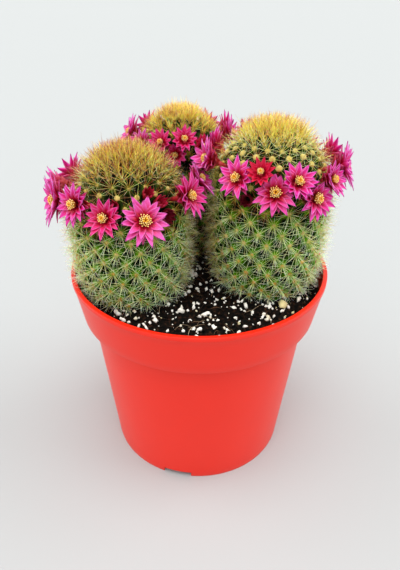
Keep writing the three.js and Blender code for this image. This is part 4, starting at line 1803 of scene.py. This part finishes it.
    def clear_length(self, areole: Areole, along: Vector, length: float) -> float:
        """Works out how long a spine can grow.

        Args:
            areole: Where it starts.
            along: The direction that it grows in.
            length: How long it would be in free air.

        Returns:
            The length that stays clear of flowers, the pot, the soil, the other stems and the box.
        """
        for i in range(self.length_steps, 0, -1):
            reach = length * i / self.length_steps
            if not self.is_free(areole.point + along * reach, areole):
                continue
            inner = [areole.point + along * (reach * share) for share in (1 / 3, 2 / 3)]
            if not any(flower.holds(point) for flower in areole.nearby for point in inner):
                return reach
        return 0.0

    def is_free(self, point: Vector, areole: Areole) -> bool:
        """Tells whether a spine may end at a point.

        Args:
            point: The point.
            areole: The areole that the spine grows from.

        Returns:
            Whether the point is clear of all that stands round it.
        """
        for axis in range(3):
            if not BOX_LOW[axis] + BOX_MARGIN < point[axis] < BOX_HIGH[axis] - BOX_MARGIN:
                return False
        if point.z < SOIL_LEVEL + self.above_soil:
            return False
        is_low = point.z < self.pot.height + self.above_rim
        if is_low and point.xy.length > self.pot.inside(point.z) - self.off_wall:
            return False
        for other in STEMS:
            if other is self.spec:
                continue
            way = (other.foot - self.spec.foot).xy
            towards = (point - self.spec.foot).xy.dot(way) / way.length
            if towards > (way.length + self.spec.radius - other.radius) / 2 + self.past_middle:
                return False
        return not any(flower.holds(point) for flower in areole.nearby)

    def spray(self, areole: Areole, draw: Random) -> list[tuple[Vector, float, float, float]]:
        """Works out the spines of one areole.

        Args:
            areole: The areole.
            draw: The source of small differences.

        Returns:
            The direction, length, thickness and gilding of each spine.
        """
        gold = areole.gold
        density = self.spec.crown_density
        radials, centrals = (
            round(mix(mix(wall, young, areole.youth), crown * density, gold)) for wall, young, crown in (
                (self.wall_radials, self.young_radials, self.crown_radials),
                (self.wall_centrals, self.spec.young_centrals, self.crown_centrals),
            )
        )
        start = draw.uniform(0, math.tau)
        spines = []
        for i in range(radials + centrals):
            is_central = i >= radials
            count = centrals if is_central else radials
            turn = start + math.tau * (i + draw.uniform(*self.side_turns)) / count
            on_wall, on_crown = self.central_lifts if is_central else self.radial_lifts
            lift = mix(draw.uniform(*on_wall), draw.uniform(*on_crown), gold)
            lean = areole.side * math.cos(turn) + areole.up * math.sin(turn)
            along = lean * math.cos(lift) + areole.normal * math.sin(lift)
            along.z += self.crown_rise * gold
            young = max(gold, areole.youth if is_central else 0)
            wall_length = self.spec.wall_spines * (self.central_share if is_central else 1)
            length = mix(wall_length, self.spec.crown_spines, young) * draw.uniform(*self.spine_lengths)
            if is_central and draw.random() < self.stray_share * young:
                length *= self.stray_length
            slimness = 1.0 if is_central else mix(1.0, self.young_slimness, areole.youth)
            stoutness = mix(slimness, self.crown_stoutness, gold)
            thickness = self.spine_radius * draw.uniform(*self.spine_radii) * stoutness
            # the stain, with its painted shade by the next stem, turns spines towards the crown's browner
            # colours
            gilding = max(gold, areole.youth * (1.0 if is_central else self.young_gilding), areole.stain)
            gilding += draw.uniform(*self.gildings)
            spines.append((along.normalized(), length, thickness, gilding))
        return spines

    def spines(self, areoles: Sequence[Areole], crown: bool, draw: Random) -> BMesh:
        """Makes the spines of the crown or those of the wall.

        Args:
            areoles: The stem's areoles.
            crown: Whether these are the crown's spines.
            draw: The source of small differences.

        Returns:
            The shape, in the plant's frame.
        """
        cuts, values = self.crown_cuts if crown else self.wall_cuts, ("tint", "gold")
        stamps = [Stamp(tapered_thread(3, cuts, self.spine_point, bend), values) for bend in self.spine_bends]
        target = blank_shape(("along", *values))
        for areole in areoles:
            if areole.is_on_crown is not crown:
                continue
            rust = mix(1, self.spec.rust, areole.youth) * mix(1, self.seat_and_shade_browning, areole.stain)
            for along, length, thickness, gilding in self.spray(areole, draw):
                reach = self.clear_length(areole, along, length)
                if reach < self.shortest:
                    continue
                root = Matrix.Translation(areole.point + areole.normal * self.spine_lift)
                shape = aimed(along) @ spun(draw) @ stretched(thickness, thickness, reach)
                draw.choice(stamps).place(
                    target, root @ shape,
                    tint=draw.random() ** rust, gold=clamped(gilding),
                )
        for stamp in stamps:
            stamp.discard()
        return target

    def build(self, finishes: Finishes) -> None:
        """Makes the stem.

        Args:
            finishes: The plant's finishes.
        """
        draw = Random(self.spec.seed)
        name = f"stem_{self.spec.name}"
        areoles = self.areoles()
        finish_piece(f"{name}_skin", self.skin(), finishes.skin, name)
        finish_piece(f"{name}_wool", self.wool(areoles, draw), finishes.wool, name)
        for part, crown in (("wall", False), ("crown", True)):
            spines = self.spines(areoles, crown, draw)
            finish_piece(f"{name}_{part}_spines", spines, finishes.horn, name)


# Soil


@dataclass
class Soil:
    """The potting mix: a crumbly ground, perlite on it, and fine dry roots."""

    pot: Pot
    level: float = SOIL_LEVEL
    bump: float = 0.8
    bump_rate: float = 0.31
    bump_phase: float = 1
    coarse_relief: Range = (0.9, 0.35)  # height and rate
    fine_relief: Range = (0.55, 0.95)
    rings: int = 66
    steps: int = 190
    seed: int = 21

    crumbs: int = 1500
    crumb_corners: int = 12
    crumb_sizes: Range = (0.4, 1.5)
    crumb_widths: Range = (0.6, 1)
    crumb_heights: Range = (0.5, 0.9)
    crumb_level: float = 0.3
    crumb_margin: float = 2
    lump_radii: Range = (0.7, 1.1)

    foot_share: float = 0.82
    from_stem: float = 3.9
    outer_ring: float = 53
    perlite_seed: int = 11
    perlite_count: int = 30
    perlite_sizes: Range = (1.2, 2.4)
    perlite_share: float = 0.85  # how large the grains are beside the plain solid's
    small_count: int = 1000
    small_sizes: Range = (0.3, 1.2)
    small_rareness: float = 1.6  # how rare the larger ones of the small grains are
    small_from_stem: float = 1.5
    small_beyond: float = 3  # how far beyond the outer ring they lie
    grain_corners: int = 20
    grain_variants: int = 8
    grain_lengths: Range = (0.9, 1.4)
    grain_heights: Range = (0.6, 0.9)
    grain_level: float = 0.45
    yellow_grain: tuple[float, float, float] = (37.0, -25.5, 2.7)  # place and radius of a stained grain

    root_count: int = 130
    root_cuts: tuple[float, ...] = (0.2, 0.4, 0.6, 0.8)
    root_point: float = 0.4
    root_lengths: Range = (3, 11)
    root_radii: Range = (0.07, 0.13)
    root_waves: Range = (-1.05, 1.05)  # radians by which a root turns on its way
    root_arches: Range = (0.2, 1.6)
    root_level: float = 0.2
    root_from_stem: float = 1

    def height(self, x: float, y: float) -> float:
        """Works out the height of the ground, with its fine relief.

        Args:
            x: The place, from the left to the right.
            y: The place, from the front to the back.

        Returns:
            The height.
        """
        wave = math.sin(x * self.bump_rate + self.bump_phase) * math.cos(y * self.bump_rate)
        coarse, coarse_rate = self.coarse_relief
        fine, fine_rate = self.fine_relief
        lumps = noise.noise(Vector((x, y, 0)) * coarse_rate) * coarse
        return self.level + self.bump * wave + lumps + noise.noise(Vector((x, y, 7)) * fine_rate) * fine

    def is_open(self, place: Vector, clearance: float) -> bool:
        """Returns whether a place is clear of every stem's foot."""
        share = self.foot_share
        return all((place - stem.foot).xy.length > stem.radius * share + clearance for stem in STEMS)

    def ground(self) -> BMesh:
        """Returns the body of soil, turned from its section, with a crumbly top."""
        pot = self.pot
        floor = pot.foot_height + pot.wall + GAP
        ledge = pot.shoulder + pot.wall + GAP
        edge = pot.inside(self.level) - GAP
        outline = [(0, floor), (pot.inside(floor) - GAP, floor), (pot.inside(pot.shoulder) - GAP, ledge)]
        outline += [(pot.inside(ledge) - GAP, ledge)]
        outline += [(edge * (1 - i / self.rings), self.level) for i in range(self.rings + 1)]
        shape = blank_shape(("tint",))
        turn_round(shape, [shape.verts.new((r, 0, z)) for r, z in outline], self.steps)
        for vertex in shape.verts:
            if vertex.co.z > self.level - GAP:
                vertex.co.z = self.height(vertex.co.x, vertex.co.y)
        return shape

    def scatter(self, target: BMesh, draw: Random) -> None:
        """Strews crumbs over the ground.

        Args:
            target: The ground.
            draw: The source of places and sizes.
        """
        crumb = self.lump(self.crumb_corners, 0)
        reach = self.pot.inside(self.level) - self.crumb_margin
        for _ in range(self.crumbs):
            place = polar(reach * math.sqrt(draw.random()), draw.uniform(0, math.tau), 0)
            size = mix(*self.crumb_sizes, draw.random() ** 2)
            turn = Euler([draw.uniform(0, math.tau) for _ in range(3)]).to_matrix().to_4x4()
            place.z = self.height(place.x, place.y) + size * self.crumb_level
            width, height = (size * draw.uniform(*sizes) for sizes in (self.crumb_widths, self.crumb_heights))
            crumb.place(target, Matrix.Translation(place) @ turn @ stretched(size, width, height))
        crumb.discard()

    def lump(self, corners: int, variant: int) -> Stamp:
        """Makes an angular lump of about unit radius.

        Args:
            corners: How many corners it is made from.
            variant: The number of its form.

        Returns:
            The lump, to be set down many times.
        """
        draw = Random(variant)
        shape = bmesh.new()
        for _ in range(corners):
            way = Vector([draw.gauss(0, 1) for _ in range(3)]).normalized()
            shape.verts.new(way * draw.uniform(*self.lump_radii))
        hull = bmesh.ops.convex_hull(shape, input=shape.verts[:])
        inner = [v for v in hull["geom_interior"] if isinstance(v, BMVert)]
        bmesh.ops.delete(shape, geom=inner, context="VERTS")
        bmesh.ops.recalc_face_normals(shape, faces=shape.faces[:])
        return Stamp(shape, ("tint",))

    def grains(self, draw: Random) -> BMesh:
        """Returns the grains of perlite: large ones, and many more small ones between them.

        Args:
            draw: The source of the small grains' places and sizes.

        Returns:
            The shape, in the plant's frame.
        """
        lumps = [self.lump(self.grain_corners, variant + 1) for variant in range(self.grain_variants)]
        target = blank_shape(("tint",))
        count = 0
        random = seeded_random(self.perlite_seed)
        while count < self.perlite_count:
            radius = mix(*self.perlite_sizes, random() ** 2)
            place = polar(self.outer_ring * math.sqrt(random()), math.tau * random(), 0)
            angles = Euler([math.pi * random() for _ in range(3)])
            if self.is_open(place, self.from_stem):
                self.set_grain(target, lumps, place, radius * self.perlite_share, angles, draw)
                count += 1
        reach = self.outer_ring + self.small_beyond
        for _ in range(self.small_count):
            place = polar(reach * math.sqrt(draw.random()), draw.uniform(0, math.tau), 0)
            radius = mix(*self.small_sizes, draw.random() ** self.small_rareness)
            angles = Euler([draw.uniform(0, math.tau) for _ in range(3)])
            if self.is_open(place, self.small_from_stem):
                self.set_grain(target, lumps, place, radius, angles, draw)
        x, y, radius = self.yellow_grain
        self.set_grain(target, lumps, Vector((x, y, 0)), radius, Euler(), draw, stain=1.0)
        for lump in lumps:
            lump.discard()
        return target

    def set_grain(
        self, target: BMesh, lumps: Sequence[Stamp], place: Vector, radius: float, angles: Euler,
        draw: Random, stain: float = 0.0,
    ) -> None:
        """Sets down one grain.

        Args:
            target: The mesh of all grains.
            lumps: The shapes to choose from.
            place: Where the grain lies.
            radius: Its radius.
            angles: How it is turned.
            draw: The source of its form and tint.
            stain: How yellow it is at least.
        """
        level = self.height(place.x, place.y) + radius * self.grain_level
        spot = Matrix.Translation((place.x, place.y, level)) @ angles.to_matrix().to_4x4()
        length, height = (radius * draw.uniform(*sizes) for sizes in (self.grain_lengths, self.grain_heights))
        lump = draw.choice(lumps)
        lump.place(target, spot @ stretched(length, radius, height), tint=max(stain, draw.random() ** 2))

    def roots(self, draw: Random) -> BMesh:
        """Returns fine dry roots that lie on the soil.

        Args:
            draw: The source of their places and shapes.

        Returns:
            The shape, in the plant's frame.
        """
        thread = Stamp(tapered_thread(4, self.root_cuts, self.root_point), ("tint",))
        target = blank_shape(("along", "tint"))
        for _ in range(self.root_count):
            start = polar(self.outer_ring * math.sqrt(draw.random()), draw.uniform(0, math.tau), 0)
            heading = draw.uniform(0, math.tau)
            length = draw.uniform(*self.root_lengths)
            radius = draw.uniform(*self.root_radii)
            wave = draw.uniform(*self.root_waves)
            arch = draw.uniform(*self.root_arches)

            def lay(point: Vector) -> Vector:
                """Returns where a point of the straight thread lies on the ground."""
                run = length * point.z
                spot = start + polar(run, heading + wave * point.z, 0)
                across = direction(heading + math.pi / 2, 0) * point.x * radius
                level = self.height(spot.x, spot.y) + arch * math.sin(math.pi * point.z) + self.root_level
                return Vector((spot.x, spot.y, level + point.y * radius)) + across

            end = lay(UP)
            is_clear = all(self.is_open(point, self.root_from_stem) for point in (start, end))
            if is_clear and end.xy.length < self.outer_ring:
                thread.place(target, lay, tint=draw.random())
        thread.discard()
        return target

    def build(self, finishes: Finishes) -> None:
        """Makes the soil, the perlite and the roots.

        Args:
            finishes: The plant's finishes.
        """
        draw = Random(self.seed)
        ground = self.ground()
        self.scatter(ground, draw)
        finish_piece("soil_ground", ground, finishes.soil, "soil")
        finish_piece("soil_perlite", self.grains(draw), finishes.perlite, "soil")
        finish_piece("soil_roots", self.roots(draw), finishes.root, "soil")


# Studio


@dataclass(frozen=True)
class Softbox:
    """A large soft light, far away: the way towards it, its power and how wide it is, in degrees."""

    name: str
    way: tuple[float, float, float]
    power: float
    spread: float = 50


@dataclass
class Studio:
    """The pale floor, the soft lights and the camera at the photograph's angle, all in millimetres."""

    floor_size: float = 12000
    eye: tuple[float, float, float] = (0.395, -225.03, 228.59)
    target: tuple[float, float, float] = (0.395, 0, 86.60)
    roll: float = 0.626
    focal: float = 542.74  # pixels
    frame_height: int = 570  # pixels
    sensor: float = 36
    near: float = 10
    far: float = 100000
    softboxes: tuple[Softbox, ...] = (
        Softbox("softbox_top", (0.0, -0.2, 1.0), 0.9, 40),
        Softbox("softbox_front", (-0.15, -0.8, 0.9), 0.85),
        Softbox("softbox_left", (-0.9, 0.1, 0.7), 0.75),
        Softbox("softbox_right", (0.9, 0.1, 0.7), 1.0),
    )
    sky: str = "#f4f6f5"
    sky_strength: float = 0.95

    def floor(self, finishes: Finishes) -> None:
        """Lays the floor.

        Args:
            finishes: The plant's finishes.
        """
        shape = bmesh.new()
        bmesh.ops.create_grid(shape, x_segments=8, y_segments=8, size=self.floor_size * MM / 2)
        floor = into_scene("floor", shape)
        floor.data.materials.append(finishes.paper)

    def light(self) -> None:
        """Sets up the soft lights and the even pale surroundings."""
        for softbox in self.softboxes:
            lamp = bpy.data.lights.new(softbox.name, "SUN")
            lamp.energy = softbox.power
            lamp.angle = math.radians(softbox.spread)
            holder = bpy.data.objects.new(softbox.name, lamp)
            holder.rotation_euler = Vector(softbox.way).to_track_quat("Z", "Y").to_euler()
            bpy.context.scene.collection.objects.link(holder)
        world = bpy.data.worlds.new("surroundings")
        world.use_nodes = True
        sky = world.node_tree.nodes["Background"]
        sky.inputs[0].default_value = linear(self.sky)
        sky.inputs[1].default_value = self.sky_strength
        bpy.context.scene.world = world

    def camera(self) -> None:
        """Sets up the camera."""
        lens = bpy.data.cameras.new("camera")
        lens.sensor_width = self.sensor
        lens.lens = self.focal * self.sensor / self.frame_height
        lens.clip_start, lens.clip_end = self.near * MM, self.far * MM
        back = (Vector(self.eye) - Vector(self.target)).normalized()
        right = UP.cross(back).normalized()
        level = Matrix((right, back.cross(right), back)).transposed()
        camera = bpy.data.objects.new("camera", lens)
        roll = Matrix.Rotation(math.radians(self.roll), 3, "Z")
        camera.matrix_world = Matrix.Translation(Vector(self.eye) * MM) @ (level @ roll).to_4x4()
        bpy.context.scene.collection.objects.link(camera)
        bpy.context.scene.camera = camera

    def build(self, finishes: Finishes) -> None:
        """Sets up the studio.

        Args:
            finishes: The plant's finishes.
        """
        bpy.context.scene.view_settings.view_transform = "Standard"
        bpy.context.scene.view_settings.look = "Medium High Contrast"
        self.light()
        self.camera()
        self.floor(finishes)


def main() -> None:
    """Builds the plant and its studio."""
    logging.basicConfig(level=logging.INFO, format="%(message)s")
    finishes = Finishes()
    studio = Studio()
    studio.build(finishes)
    pot = Pot()
    pot.build(finishes)
    Soil(pot).build(finishes)
    lattices = {spec.name: Lattice(spec) for spec in STEMS}
    garland = Garland(lattices)
    for spec in STEMS:
        Stem(spec, lattices[spec.name], garland.flowers, pot).build(finishes)
    garland.build(finishes)


if __name__ == "__main__":
    main()
